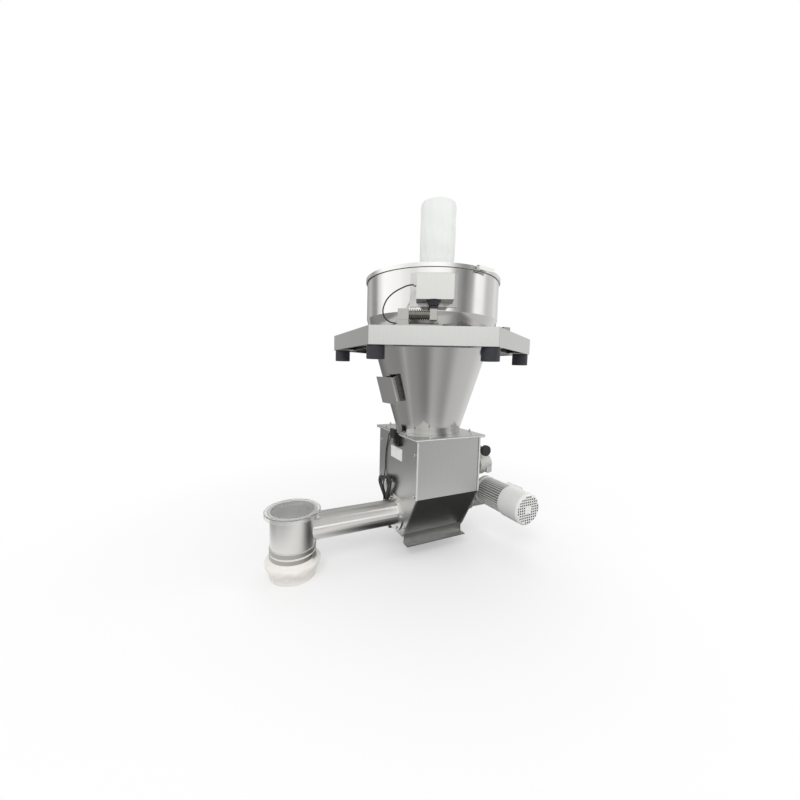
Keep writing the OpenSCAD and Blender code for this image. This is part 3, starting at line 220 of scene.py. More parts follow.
turns = hank_turns([(4, 0), (3, 0), (2, 0), (1, 0), (0, 0), (0, 1), (1, 1), (2, 1), (3, 1), (4, 1), (4, 1)])
lead_down = np.array([[-188, 21, -332], [-187, 31, -333], [-184, 43, -336], [-180, 55, -342],
                      [-175, 68, -353], [-171, 80, -369], [-169, 92, -390], [-168.2, 103, -415],
                      [-168.4, 109, -445], [-168.6, 111, -480], [-169, 111, -520], [-172, 111, -548],
                      [-175.3, 111.5, -566]]) / 1000
lead_end = np.array([[-189.5, 97, -616.4], [-191.4, 91, -621.8], [-192.25, 85, -628], [-192.25, 78.8, -636.5],
                     [-192.25, 73.6, -646.5], [-192.25, 70.9, -656], [-192.25, 70.5, -663]]) / 1000
lead_line = through(np.vstack([lead_down, turns, lead_end]), 3)
lead = cord_curve("switch_lead_jacket", lead_line, LEAD_RADIUS)
lead.data.materials.append(cable_pvc)
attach(lead, "machine")
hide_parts("switch_cable", "switch_cable_coil")


# Hopper
# A welded drum of 3 mm stainless sheet: a rolled shell on a cone, with a short
# collar below. Polished all over; the seams are ground flat and the rim turned out.

def shade_by_angle(made, degrees):
    """Smooth shading, with edges sharper than the angle left hard."""
    made.data.shade_smooth()
    made.data.set_sharp_from_angle(angle=math.radians(degrees))


def new_piece(name, points, faces, material, hard=35):
    """An object at the origin from points and faces, its doubles merged and faces outward."""
    data = bpy.data.meshes.new(name)
    data.from_pydata(np.asarray(points, float).reshape(-1, 3).tolist(), [], [list(f) for f in faces])
    work = bmesh.new()
    work.from_mesh(data)
    bmesh.ops.remove_doubles(work, verts=work.verts, dist=2e-6)
    bmesh.ops.recalc_face_normals(work, faces=work.faces)
    work.to_mesh(data)
    work.free()
    made = bpy.data.objects.new(name, data)
    bpy.context.scene.collection.objects.link(made)
    data.materials.append(material)
    shade_by_angle(made, hard)
    return made


def grid_faces(rows, columns, wrap_rows=True, wrap_columns=True):
    """The quads of a grid of points, closed on itself in one or both ways."""
    i, j = np.meshgrid(np.arange(rows if wrap_rows else rows - 1),
                       np.arange(columns if wrap_columns else columns - 1), indexing="ij")
    k, m = (i + 1) % rows, (j + 1) % columns
    return np.stack([i * columns + j, i * columns + m, k * columns + m, k * columns + j], -1).reshape(-1, 4)


def turned(name, outline, material, centre=(0, 0), steps=160, hard=35):
    """A turned piece: each point (r, z) of the closed outline goes once round a vertical axis,
    x = r cos a, y = r sin a."""
    outline = np.asarray(outline, float)
    a = np.linspace(0, 2 * math.pi, steps, endpoint=False)
    points = np.stack([centre[0] + outline[:, :1] * np.cos(a), centre[1] + outline[:, :1] * np.sin(a),
                       np.repeat(outline[:, 1:], steps, 1)], -1)
    return new_piece(name, points, grid_faces(len(outline), steps), material, hard)


def on_body(made, slot, *nodes):
    """The piece stands for the CAD nodes and moves with the body of the first."""
    home = next(b for b, held in frame["record"]["behaviour"]["bodies"].items() if nodes[0] in held)
    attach(made, home)
    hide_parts(*nodes)
    return made


# Polished 1.4301 sheet: a clear but soft mirror, with faint polishing lines that
# run round the drum, about 0.3 mm apart and drawn at 1.5 mm so that they show.
polished_steel, tree, shader, here = begin_material("polished_stainless_sheet",
                                                    Base_Color=linear("#C9C8C6"), Metallic=1.0,
                                                    Anisotropic=0.35)
stretched = add_node(tree, "ShaderNodeMapping", {"Vector": here, "Scale": (6.0, 6.0, 650.0)})
lines = add_node(tree, "ShaderNodeTexNoise", {"Vector": stretched.outputs["Vector"], "Scale": 1.0,
                                              "Detail": 4.0})
cloud = add_node(tree, "ShaderNodeTexNoise", {"Vector": here, "Scale": 7.0, "Detail": 3.0})
mixed = add_node(tree, "ShaderNodeMath", {0: lines.outputs["Fac"], 1: cloud.outputs["Fac"]},
                 operation="MULTIPLY")
dull = add_node(tree, "ShaderNodeMapRange", {"Value": mixed.outputs["Value"], "From Min": 0.1,
                                             "From Max": 0.42, "To Min": 0.09, "To Max": 0.2})
tree.links.new(dull.outputs["Result"], shader.inputs["Roughness"])
tree.links.new(add_node(tree, "ShaderNodeBump", {"Height": lines.outputs["Fac"], "Strength": 0.05,
                                                 "Distance": 0.0004}).outputs["Normal"],
               shader.inputs["Normal"])
tree.links.new(add_node(tree, "ShaderNodeTangent", direction_type="RADIAL", axis="Z").outputs["Tangent"],
               shader.inputs["Tangent"])

curl = np.linspace(-0.5 * math.pi, 0.75 * math.pi, 12)
rim_curl = np.stack([0.3001 + 0.0024 * np.cos(curl), 0.3575 + 0.0022 * np.sin(curl)], 1)
hopper_outline = [[0.150, -0.3175], [0.153, -0.3175], [0.153, -0.3004], [0.1534, -0.2995], [0.1535, -0.2985],
                  [0.2997, 0.1885], [0.3001, 0.1896], [0.3002, 0.1908], [0.3, 0.1918], *rim_curl,
                  [0.297, 0.3595], [0.297, 0.190], [0.150, -0.299]]
on_body(turned("hopper_drum", hopper_outline, polished_steel, steps=256, hard=25), "polished", "hopper_shell")


# Sheet-metal and cast pieces
# Folded and welded stainless sheet, turned parts and castings, all from the
# solids. Each gets its real edge: a fold, a broken edge or a casting's corner.

def edged(node, name, material, edge, hard=28, segments=2):
    """A copy of a node with its flats merged and its edges rounded to the given radius."""
    source = frame["nodes"][node]
    data = source.data.copy()
    work = bmesh.new()
    work.from_mesh(data)
    bmesh.ops.remove_doubles(work, verts=work.verts, dist=1e-5)
    bmesh.ops.dissolve_limit(work, angle_limit=math.radians(0.8), verts=work.verts, edges=work.edges)
    work.to_mesh(data)
    work.free()
    data.materials.clear()
    data.materials.append(material)
    made = bpy.data.objects.new(name, data)
    bpy.context.scene.collection.objects.link(made)
    shade_by_angle(made, hard)
    bevel = made.modifiers.new("edge", "BEVEL")
    bevel.width = edge
    bevel.segments = segments
    bevel.limit_method = "ANGLE"
    bevel.angle_limit = math.radians(hard)
    bevel.harden_normals = True
    slots = {row["node"]: row["material_slot"] for row in frame["record"]["subparts"]}
    return on_body(made, slots[node], node)


# Satin stainless: ground with a belt, so a close vertical grain (drawn at about
# 1 mm) over a broad, even sheen.
satin_steel, tree, shader, here = begin_material("satin_stainless_sheet", Metallic=1.0)
grain = add_node(tree, "ShaderNodeMapping", {"Vector": here, "Scale": (900.0, 900.0, 7.0)})
grain = add_node(tree, "ShaderNodeTexNoise", {"Vector": grain.outputs["Vector"], "Scale": 1.0, "Detail": 3.0})
tone = add_node(tree, "ShaderNodeMix", {"Factor": grain.outputs["Fac"]}, data_type="RGBA")
tone.inputs[6].default_value = linear("#B4B4B2")
tone.inputs[7].default_value = linear("#C8C8C5")
tree.links.new(tone.outputs[2], shader.inputs["Base Color"])
tree.links.new(add_node(tree, "ShaderNodeMapRange", {"Value": grain.outputs["Fac"], "To Min": 0.27,
                                                     "To Max": 0.42}).outputs["Result"],
               shader.inputs["Roughness"])
tree.links.new(add_node(tree, "ShaderNodeBump", {"Height": grain.outputs["Fac"], "Strength": 0.08,
                                                 "Distance": 0.0003}).outputs["Normal"],
               shader.inputs["Normal"])

# Brushed stainless tube: polished with a belt round its axis, so fine lines go round
# it under an even sheen. They are drawn 1 mm apart to show.

def brushed_tube(name, along):
    """Brushed stainless whose lines go round the X or the Z axis."""
    made, tree, shader, here = begin_material(name, Metallic=1.0)
    close = (900.0, 8.0, 8.0) if along == "X" else (8.0, 8.0, 900.0)
    line = add_node(tree, "ShaderNodeMapping", {"Vector": here, "Scale": close})
    line = add_node(tree, "ShaderNodeTexNoise", {"Vector": line.outputs["Vector"], "Scale": 1.0,
                                                 "Detail": 3.0})
    tone = add_node(tree, "ShaderNodeMix", {"Factor": line.outputs["Fac"]}, data_type="RGBA")
    tone.inputs[6].default_value = linear("#D0CFCC")
    tone.inputs[7].default_value = linear("#DBDAD7")
    tree.links.new(tone.outputs[2], shader.inputs["Base Color"])
    tree.links.new(add_node(tree, "ShaderNodeMapRange", {"Value": line.outputs["Fac"], "To Min": 0.27,
                                                        "To Max": 0.4}).outputs["Result"],
                   shader.inputs["Roughness"])
    return made


brushed_along_x = brushed_tube("brushed_tube_along_x", "X")
brushed_upright = brushed_tube("brushed_tube_upright", "Z")

# Ground nickel-plated steel of the load cells, and the darker, annealed bellows.
nickel_steel, tree, shader, here = begin_material("nickel_plated_steel", Base_Color=linear("#A6A5A1"),
                                                  Metallic=1.0)
ground = add_node(tree, "ShaderNodeTexNoise", {"Vector": here, "Scale": 240.0, "Detail": 4.0})
tree.links.new(add_node(tree, "ShaderNodeMapRange", {"Value": ground.outputs["Fac"], "To Min": 0.3,
                                                     "To Max": 0.48}).outputs["Result"],
               shader.inputs["Roughness"])
bellows_steel, tree, shader, here = begin_material("annealed_bellows_steel", Base_Color=linear("#75736D"),
                                                   Metallic=1.0)
tint = add_node(tree, "ShaderNodeTexNoise", {"Vector": here, "Scale": 90.0, "Detail": 3.0})
tree.links.new(add_node(tree, "ShaderNodeMapRange", {"Value": tint.outputs["Fac"], "To Min": 0.2,
                                                     "To Max": 0.36}).outputs["Result"],
               shader.inputs["Roughness"])

# Cut edges of the end plates: deburred and brushed bright along their length.
cut_edge, tree, shader, here = begin_material("brushed_cut_edge", Base_Color=linear("#EAEAE8"), Metallic=1.0)
scratch = add_node(tree, "ShaderNodeTexNoise", {"Vector": here, "Scale": 320.0, "Detail": 3.0})
tree.links.new(add_node(tree, "ShaderNodeMapRange", {"Value": scratch.outputs["Fac"], "To Min": 0.4,
                                                     "To Max": 0.6}).outputs["Result"],
               shader.inputs["Roughness"])

# Bright stainless hardware: turned, pressed or drawn, with small dull marks.
bright_steel, tree, shader, here = begin_material("bright_stainless_hardware",
                                                  Base_Color=linear("#CFCFCC"), Metallic=1.0)
marks = add_node(tree, "ShaderNodeTexNoise", {"Vector": here, "Scale": 160.0, "Detail": 4.0})
tree.links.new(add_node(tree, "ShaderNodeMapRange", {"Value": marks.outputs["Fac"], "To Min": 0.14,
                                                     "To Max": 0.36}).outputs["Result"],
               shader.inputs["Roughness"])

# Aluminium casting: bead-blasted and oxidised to a pale, half metallic skin with the
# fine pebble of the mould, drawn at about 1 mm.
blasted_casting, tree, shader, here = begin_material("blasted_aluminium_casting",
                                                     Base_Color=linear("#CCCBC8"), Metallic=0.55)
pebble = add_node(tree, "ShaderNodeTexNoise", {"Vector": here, "Scale": 900.0, "Detail": 3.0})
tree.links.new(add_node(tree, "ShaderNodeMapRange", {"Value": pebble.outputs["Fac"], "To Min": 0.42,
                                                     "To Max": 0.62}).outputs["Result"],
               shader.inputs["Roughness"])
tree.links.new(add_node(tree, "ShaderNodeBump", {"Height": pebble.outputs["Fac"], "Strength": 0.25,
                                                 "Distance": 0.0003}).outputs["Normal"],
               shader.inputs["Normal"])

# Motor enamel: light grey, sprayed, with a slight orange peel 2 mm across. The ground of
# the gaps between the fins and the inside of the fan cowl are coloured dark grey as painted shade.
motor_enamel, tree, shader, here = begin_material("light_grey_motor_enamel", Roughness=0.38, IOR=1.5,
                                                  Coat_Weight=0.25, Coat_Roughness=0.2)
peel = add_node(tree, "ShaderNodeTexNoise", {"Vector": here, "Scale": 480.0, "Detail": 2.0})
dust = add_node(tree, "ShaderNodeTexNoise", {"Vector": here, "Scale": 14.0, "Detail": 4.0})
tone = add_node(tree, "ShaderNodeMix", {"Factor": dust.outputs["Fac"]}, data_type="RGBA")
tone.inputs[6].default_value = linear("#E2E3E0")
tone.inputs[7].default_value = linear("#EEEFEC")
MOTOR_AXIS, COWL_FROM, COWL_END, COWL_SKIN = (0.316, 0.0, -0.636), 0.236, 0.351, 0.0007
GAP_GROUND_R, GAP_EDGE_R, COWL_INSIDE_R, COWL_INNER_CORNER = 0.0575, 0.0665, 0.0702, 0.413
beside = add_node(tree, "ShaderNodeVectorMath", {0: here, 1: MOTOR_AXIS}, operation="SUBTRACT")
beside = add_node(tree, "ShaderNodeVectorMath", {0: beside.outputs["Vector"], 1: (1, 0, 1)},
                  operation="MULTIPLY")
beside = add_node(tree, "ShaderNodeVectorMath", {0: beside.outputs["Vector"]},
                  operation="LENGTH").outputs["Value"]
back_y = add_node(tree, "ShaderNodeSeparateXYZ", {0: here}).outputs["Y"]
slant = add_node(tree, "ShaderNodeMath", {0: back_y, 1: beside}, operation="SUBTRACT").outputs["Value"]
gap = add_node(tree, "ShaderNodeMapRange", {"Value": beside, "From Min": GAP_GROUND_R, "From Max": GAP_EDGE_R,
                                            "To Min": 0.62, "To Max": 0.0}).outputs["Result"]
inside = add_node(tree, "ShaderNodeMath", {0: beside, 1: COWL_INSIDE_R},
                  operation="LESS_THAN").outputs["Value"]
for value, limit in ((back_y, COWL_SKIN - COWL_END), (slant, -COWL_INNER_CORNER)):
    past = add_node(tree, "ShaderNodeMath", {0: value, 1: limit}, operation="GREATER_THAN")
    inside = add_node(tree, "ShaderNodeMath", {0: inside, 1: past.outputs["Value"]},
                      operation="MULTIPLY").outputs[0]
finned = add_node(tree, "ShaderNodeMath", {0: back_y, 1: -COWL_FROM},
                  operation="GREATER_THAN").outputs["Value"]
# Painted shade: dark grey is mixed in at the ground of the fin gaps and inside the fan cowl.
painted_shade_amount = add_node(tree, "ShaderNodeMix", {"Factor": finned, "A": inside, "B": gap})
shaded = add_node(tree, "ShaderNodeMix", {"Factor": painted_shade_amount.outputs["Result"]}, data_type="RGBA")
tree.links.new(tone.outputs[2], shaded.inputs[6])
shaded.inputs[7].default_value = linear("#2B2C2D")
tree.links.new(shaded.outputs[2], shader.inputs["Base Color"])
tree.links.new(add_node(tree, "ShaderNodeBump", {"Height": peel.outputs["Fac"], "Strength": 0.12,
                                                 "Distance": 0.0004}).outputs["Normal"],
               shader.inputs["Normal"])

# Moulded natural rubber, matt, with a little bloom on the black.
black_rubber, tree, shader, here = begin_material("moulded_black_rubber", Roughness=0.58, IOR=1.5)
bloom = add_node(tree, "ShaderNodeTexNoise", {"Vector": here, "Scale": 60.0, "Detail": 5.0})
tone = add_node(tree, "ShaderNodeMix", {"Factor": bloom.outputs["Fac"]}, data_type="RGBA")
tone.inputs[6].default_value = linear("#202126")
tone.inputs[7].default_value = linear("#34353B")
tree.links.new(tone.outputs[2], shader.inputs["Base Color"])

# Glass-filled nylon: black, with the fine spark-eroded skin of its mould, drawn at 0.7 mm.
black_nylon, tree, shader, here = begin_material("black_moulded_nylon", Base_Color=linear("#191A1C"),
                                                 Roughness=0.45, IOR=1.53)
skin = add_node(tree, "ShaderNodeTexNoise", {"Vector": here, "Scale": 1400.0, "Detail": 2.0})
tree.links.new(add_node(tree, "ShaderNodeBump", {"Height": skin.outputs["Fac"], "Strength": 0.2,
                                                 "Distance": 0.0002}).outputs["Normal"],
               shader.inputs["Normal"])

# White silicone rubber of the seals: smooth, slightly translucent.
white_silicone, tree, shader, here = begin_material("white_silicone_seal", Base_Color=linear("#E9E8E3"),
                                                    IOR=1.42, Subsurface_Weight=0.15,
                                                    Subsurface_Radius=(0.004, 0.003, 0.002))
film = add_node(tree, "ShaderNodeTexNoise", {"Vector": here, "Scale": 40.0})
tree.links.new(add_node(tree, "ShaderNodeMapRange", {"Value": film.outputs["Fac"], "To Min": 0.35,
                                                     "To Max": 0.5}).outputs["Result"],
               shader.inputs["Roughness"])

# The end plates show bright cut edges, and the middle of each load cell is its bellows.
BELLOWS_FROM, BELLOWS_TO = -0.0895, -0.0155
for node, material, edge in [
        ("platform_frame", satin_steel, 0.0022), ("front_panel", satin_steel, 0.0008),
        ("back_panel", satin_steel, 0.0008), ("discharge_plate", satin_steel, 0.0007),
        ("drive_plate", satin_steel, 0.0007), ("front_rail", satin_steel, 0.0009),
        ("back_rail", satin_steel, 0.0009), ("screw_trough", satin_steel, 0.0005),
        ("trough_flange", satin_steel, 0.0006), ("hopper_flange", satin_steel, 0.0006),
        ("load_hood_1", satin_steel, 0.0018), ("load_hood_2", satin_steel, 0.0018),
        ("load_hood_3", satin_steel, 0.0018), ("plate_holder", polished_steel, 0.0006),
        ("lid", polished_steel, 0.0006), ("vent_stub", polished_steel, 0.0006),
        ("refill_spigot", polished_steel, 0.0008), ("screw_tube", brushed_along_x, 0.0006),
        ("outlet_tube", brushed_upright, 0.0008), ("clamp_ring", bright_steel, 0.0006),
        ("ring_lever", bright_steel, 0.0006), ("bag_clamp", bright_steel, 0.0004),
        ("cell_bases", nickel_steel, 0.0008), ("trough_bolts", bright_steel, 0.0005),
        ("plate_screws", bright_steel, 0.0012), ("cable_hook", bright_steel, 0.0005),
        ("upper_hose_clamp", nickel_steel, 0.0004), ("lower_hose_clamp", nickel_steel, 0.0004),
        ("screw_shaft", bright_steel, 0.0006), ("agitator", bright_steel, 0.0008),
        ("load_cell_1", nickel_steel, 0.0008), ("load_cell_2", nickel_steel, 0.0008),
        ("load_cell_3", nickel_steel, 0.0008), ("screw_lantern", blasted_casting, 0.0018),
        ("screw_gearbox", blasted_casting, 0.0022), ("agitator_neck", blasted_casting, 0.0016),
        ("agitator_gearbox", blasted_casting, 0.002), ("motor_body", motor_enamel, 0.0008),
        ("fan_cowl", motor_enamel, 0.0006), ("terminal_box", motor_enamel, 0.003),
        ("agitator_motor", motor_enamel, 0.003), ("platform_feet", black_rubber, 0.0025),
        ("rubber_mount_1", black_rubber, 0.0012), ("rubber_mount_2", black_rubber, 0.0012),
        ("rubber_mount_3", black_rubber, 0.0012), ("guard_switch", black_nylon, 0.0015),
        ("switch_plug", black_nylon, 0.0006), ("clamp_knob", black_nylon, 0.0018),
        ("motor_rotor", black_nylon, 0.0004), ("lid_seal", white_silicone, 0.0006),
        ("trough_gasket", white_silicone, 0.0004)]:
    made = edged(node, node + "_finished", material, edge)
    count = len(made.data.polygons)
    centres, normals = np.empty(3 * count), np.empty(3 * count)
    made.data.polygons.foreach_get("center", centres)
    made.data.polygons.foreach_get("normal", normals)
    centres, normals = centres.reshape(-1, 3), normals.reshape(-1, 3)
    if node in ("discharge_plate", "drive_plate"):
        made.data.materials.append(cut_edge)
        made.data.polygons.foreach_set("material_index", (np.abs(normals[:, 0]) < 0.5).astype(np.int32))
    if node.startswith("load_cell"):
        bearing = {"1": STATION, "2": 0.0, "3": STATION / 2}[node[-1]]
        along = centres[:, 1] * math.cos(bearing) - centres[:, 0] * math.sin(bearing)
        made.data.materials.append(bellows_steel)
        on_bellows = (along > BELLOWS_FROM) & (along < BELLOWS_TO)
        made.data.polygons.foreach_set("material_index", on_bellows.astype(np.int32))

flight = frame["nodes"]["screw_flight"]
flight.data.materials.clear()
flight.data.materials.append(bright_steel)


# Filter bag
# A sock of white needle felt over the vent stub, held by a band. It stands
# half filled with air, so its side is slack and its crown is lumpy.

# Needle felt: matt white fibre, with a soft fuzz about 1 mm across.
needle_felt, tree, shader, here = begin_material("white_needle_felt", Base_Color=linear("#EEF0EE"),
                                                 Roughness=0.95, Sheen_Weight=0.35, Sheen_Roughness=0.5)
fibre = add_node(tree, "ShaderNodeTexNoise", {"Vector": here, "Scale": 1100.0, "Detail": 4.0})
tree.links.new(add_node(tree, "ShaderNodeBump", {"Height": fibre.outputs["Fac"], "Strength": 0.5,
                                                 "Distance": 0.0005}).outputs["Normal"],
               shader.inputs["Normal"])

BEARINGS = np.linspace(0, 2 * math.pi, 144, endpoint=False)[None, :]


def bag_surface(centre, foot, height):
    """Rings of points up the bag. The radius is that of its side, plus the sum of a few low sine waves
    less 1.5 mm, which counts fully where the cloth is free, a fifth at the top of the crown and not at
    all under the band. The side widens above the band, and over the crown it closes as one minus the
    share of the crown to the power 2.8, all to the power 0.425. The height grows evenly with the
    share of the way up, less up to 6 mm on two opposite sides of the crown."""
    shoulder = 0.9
    closing = shoulder + (1 - shoulder) * np.sin(np.linspace(0.03, 1, 22) * math.pi / 2)
    up = np.concatenate([np.linspace(0, shoulder, 64), closing])[:, None]
    crown = np.clip((up - shoulder) / (1 - shoulder), 0, 1)
    side = 0.0765 + 0.0022 * np.tanh(up * 14) + 0.0035 * np.clip((up - 0.1) * 5, 0, 1)
    side = side * np.sqrt(np.clip(1 - crown ** 2.8, 0, 1)) ** 0.85
    wave = (0.0016 * np.sin(3 * BEARINGS + 2 * up) * up + 0.0011 * np.sin(7 * BEARINGS - 3 * up + 1)
            + 0.0007 * np.sin(12 * BEARINGS + 4 * up + 2) + 0.0005 * np.sin(2 * BEARINGS + 17 * up)
            + 0.0012 * np.sin(14 * BEARINGS) * np.exp(-((up - 0.11) / 0.05) ** 2))
    free = np.clip((up - 0.1) * 12, 0, 1) * (1 - 0.8 * crown)
    r = side + wave * free - 0.0015 * free
    z = foot + height * up - 0.006 * crown * (1 + np.cos(2 * BEARINGS + 0.6)) / 2
    return np.stack([centre[0] + r * np.cos(BEARINGS), centre[1] + r * np.sin(BEARINGS), z], -1)


def cloth_piece(name, surface, material, thickness):
    """A fabric piece from rings of points, thickened inward."""
    made = new_piece(name, surface, grid_faces(*surface.shape[:2], wrap_rows=False), material, hard=180)
    wall = made.modifiers.new("cloth", "SOLIDIFY")
    wall.thickness = thickness
    wall.offset = -1.0
    return made


on_body(cloth_piece("filter_bag_felt", bag_surface((0.015, -0.010), 0.4303, 0.309), needle_felt, 0.0018),
        "filter_cloth", "filter_bag")


# Outlet sleeve
# A short sleeve of white coated cloth, clamped on the outlet by two bands. It
# bellies out below them and is gathered again at its hem.

# Coated polyester cloth: off-white, soft shine, a plain weave drawn at 2 mm.
coated_cloth, tree, shader, here = begin_material("white_coated_cloth", Roughness=0.55, IOR=1.5,
                                                  Sheen_Weight=0.1)
weave = add_node(tree, "ShaderNodeTexVoronoi", {"Vector": here, "Scale": 420.0})
stain = add_node(tree, "ShaderNodeTexNoise", {"Vector": here, "Scale": 9.0, "Detail": 5.0})
tone = add_node(tree, "ShaderNodeMix", {"Factor": stain.outputs["Fac"]}, data_type="RGBA")
tone.inputs[6].default_value = linear("#EEE9E2")
tone.inputs[7].default_value = linear("#F7F5F1")
tree.links.new(tone.outputs[2], shader.inputs["Base Color"])
tree.links.new(add_node(tree, "ShaderNodeBump", {"Height": weave.outputs["Distance"], "Strength": 0.15,
                                                 "Distance": 0.0004}).outputs["Normal"],
               shader.inputs["Normal"])


def sleeve_surface(centre_x, line):
    """Rings of points down the sleeve. The radius is that of the line, plus the sum of the pleats less
    1.6 mm, scaled by how slack the cloth is: not at all where a band or the hem holds it, and fully
    10 mm further out. Each set of pleats is a sine of the bearing. The two closest sets are strongest
    just below the lower band and above the hem, and fade out from there by a bell curve."""
    slack = np.clip((line[:, :1] - 0.0915) / 0.01, 0, 1)
    z = line[:, 2:3]
    pleats = (0.0012 * np.sin(26 * BEARINGS + 1) * np.exp(-((z + 0.8035) / 0.006) ** 2)
              + 0.0014 * np.sin(31 * BEARINGS) * np.exp(-((z + 0.862) / 0.009) ** 2)
              + 0.0013 * np.sin(7 * BEARINGS + 90 * z) + 0.0009 * np.sin(13 * BEARINGS - 160 * z + 2))
    r = line[:, :1] + slack * (pleats - 0.0016)
    return np.stack([centre_x + r * np.cos(BEARINGS), r * np.sin(BEARINGS), z + 0 * BEARINGS], -1)


sleeve_line = through(np.array([
    [91.1, 0, -757.7], [91.1, 0, -768], [91.1, 0, -783], [91.2, 0, -796], [92, 0, -802], [97, 0, -807],
    [104.5, 0, -811.5], [110, 0, -817], [112, 0, -823.5], [111, 0, -832], [107.5, 0, -841], [102.5, 0, -850],
    [97, 0, -859.5], [93.2, 0, -867], [91.4, 0, -872], [91, 0, -877], [91.1, 0, -883.6]]) / 1000, 5)
on_body(cloth_piece("outlet_sleeve_cloth", sleeve_surface(-0.627, sleeve_line), coated_cloth, 0.0017),
        "white_sleeve", "outlet_sleeve")


# Sight cap
# A cap of clear acrylic, turned from plate with a lip that centres it in the
# outlet. It is lifted off by hand to look down onto the screw's end. Fine powder
# stands on its inner side as a pale film.

clear_acrylic, tree, shader, here = begin_material("clear_acrylic", Base_Color=linear("#F8F8F7"), IOR=1.49,
                                                   Transmission_Weight=0.88)
haze = add_node(tree, "ShaderNodeTexNoise", {"Vector": here, "Scale": 30.0, "Detail": 5.0})
tree.links.new(add_node(tree, "ShaderNodeMapRange", {"Value": haze.outputs["Fac"], "To Min": 0.02,
                                                     "To Max": 0.12}).outputs["Result"],
               shader.inputs["Roughness"])
edged("sight_cap", "sight_cap_clear", clear_acrylic, 0.0006)


# Label
# A bare rectangle of thin vinyl film with rounded corners, stuck flat on the
# discharge plate.

# Vinyl film: white and smooth, with a satin shine that is uneven where it was rubbed.
sticker_vinyl, tree, shader, here = begin_material("white_vinyl_film", Base_Color=linear("#F6F6F4"), IOR=1.5)
wear = add_node(tree, "ShaderNodeTexNoise", {"Vector": here, "Scale": 60.0})
tree.links.new(add_node(tree, "ShaderNodeMapRange", {"Value": wear.outputs["Fac"], "To Min": 0.3,
                                                     "To Max": 0.45}).outputs["Result"],
               shader.inputs["Roughness"])
LABEL_Y, LABEL_Z, LABEL_X = (-0.060, 0.058), (-0.446, -0.392), -0.1650
LABEL_CORNER, LABEL_FILM = 0.003, 0.0003
left, right_side = LABEL_Y[0] + LABEL_CORNER, LABEL_Y[1] - LABEL_CORNER
low, high = LABEL_Z[0] + LABEL_CORNER, LABEL_Z[1] - LABEL_CORNER
quarter = np.linspace(0, math.pi / 2, 6)
ring = np.concatenate([np.stack([cy + LABEL_CORNER * np.cos(quarter + k * math.pi / 2),
                                 cz + LABEL_CORNER * np.sin(quarter + k * math.pi / 2)], 1)
                       for k, (cy, cz) in enumerate([(right_side, high), (left, high), (left, low),
                                                     (right_side, low)])])
count = len(ring)
label_points = np.vstack([np.column_stack([np.full(count, LABEL_X - t), ring]) for t in (0.0, LABEL_FILM)])
label_faces = [list(range(count)), list(range(count, 2 * count))]
label_faces += [[i, (i + 1) % count, count + (i + 1) % count, count + i] for i in range(count)]
label = new_piece("bare_label", label_points, label_faces, sticker_vinyl)
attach(label, "machine")


# Floor, light and surroundings
# A pale studio: the floor is white to the camera and keeps a soft shadow. Metal
# sees a light tent with darker gaps, and a glowing floor with a painted shadow under the machine.

def ramp(tree, value, table):
    """The strength at a value, from pairs of value and strength, eased from pair to pair."""
    low, high = table[0][0], table[-1][0]
    top = max(strength for at, strength in table)
    place = add_node(tree, "ShaderNodeMapRange", {"Value": value, "From Min": low, "From Max": high})
    made = add_node(tree, "ShaderNodeValToRGB", {"Fac": place.outputs["Result"]})
    made.color_ramp.interpolation = "EASE"
    for at, strength in table[1:-1]:
        made.color_ramp.elements.new((at - low) / (high - low))
    for element, (at, strength) in zip(made.color_ramp.elements, table):
        element.color = [strength / top] * 3 + [1.0]
    return add_node(tree, "ShaderNodeMath", {0: made.outputs["Color"], 1: top},
                    operation="MULTIPLY").outputs["Value"]


def by_bearing(tree, way, table):
    """The strength for the bearing of a vector, from +X towards +Y, its table in degrees."""
    parts = add_node(tree, "ShaderNodeSeparateXYZ", {0: way})
    bearing = add_node(tree, "ShaderNodeMath", {0: parts.outputs["Y"], 1: parts.outputs["X"]},
                       operation="ARCTAN2")
    return ramp(tree, bearing.outputs["Value"], [(math.radians(at), strength) for at, strength in table])


def seen_straight(tree, ray):
    """1 for a ray from the camera, or through clear acrylic, and 0 for any other."""
    return add_node(tree, "ShaderNodeMath", {0: ray.outputs["Is Camera Ray"],
                                             1: ray.outputs["Is Transmission Ray"]},
                    operation="MAXIMUM").outputs["Value"]


FLOOR_Z, FLOOR_HALF = -0.8850, 30.0

floor_paint = bpy.data.materials.new("pale_floor")
floor_paint.use_nodes = True
tree = floor_paint.node_tree
tree.nodes.remove(tree.nodes["Principled BSDF"])
here = add_node(tree, "ShaderNodeTexCoord").outputs["Object"]
far = add_node(tree, "ShaderNodeVectorMath", {0: here}, operation="LENGTH").outputs["Value"]
fade = add_node(tree, "ShaderNodeMapRange", {"Value": far, "From Min": 0.7, "From Max": 2.2, "To Min": 0.35,
                                             "To Max": 1.0}, interpolation_type="SMOOTHSTEP")
matt = add_node(tree, "ShaderNodeBsdfDiffuse", {"Color": linear("#F2F2F2")})
white = add_node(tree, "ShaderNodeEmission", {"Color": (1, 1, 1, 1), "Strength": 1.0})
grey = add_node(tree, "ShaderNodeBsdfDiffuse", {"Color": linear("#D6D6D6")})
# Painted reflection: to glossy rays the floor glows, brighter or darker by bearing.
around_floor = by_bearing(tree, here, [
    (-180, 0.45), (-175, 0.6), (-168, 0.45), (-160, 0.42), (-130, 0.3), (-110, 0.6), (-84, 0.45), (-58, 0.75),
    (-28, 0.8), (10, 0.95), (30, 0.9), (60, 0.5), (92, 0.2), (134, 0.38), (170, 0.35), (180, 0.45)])
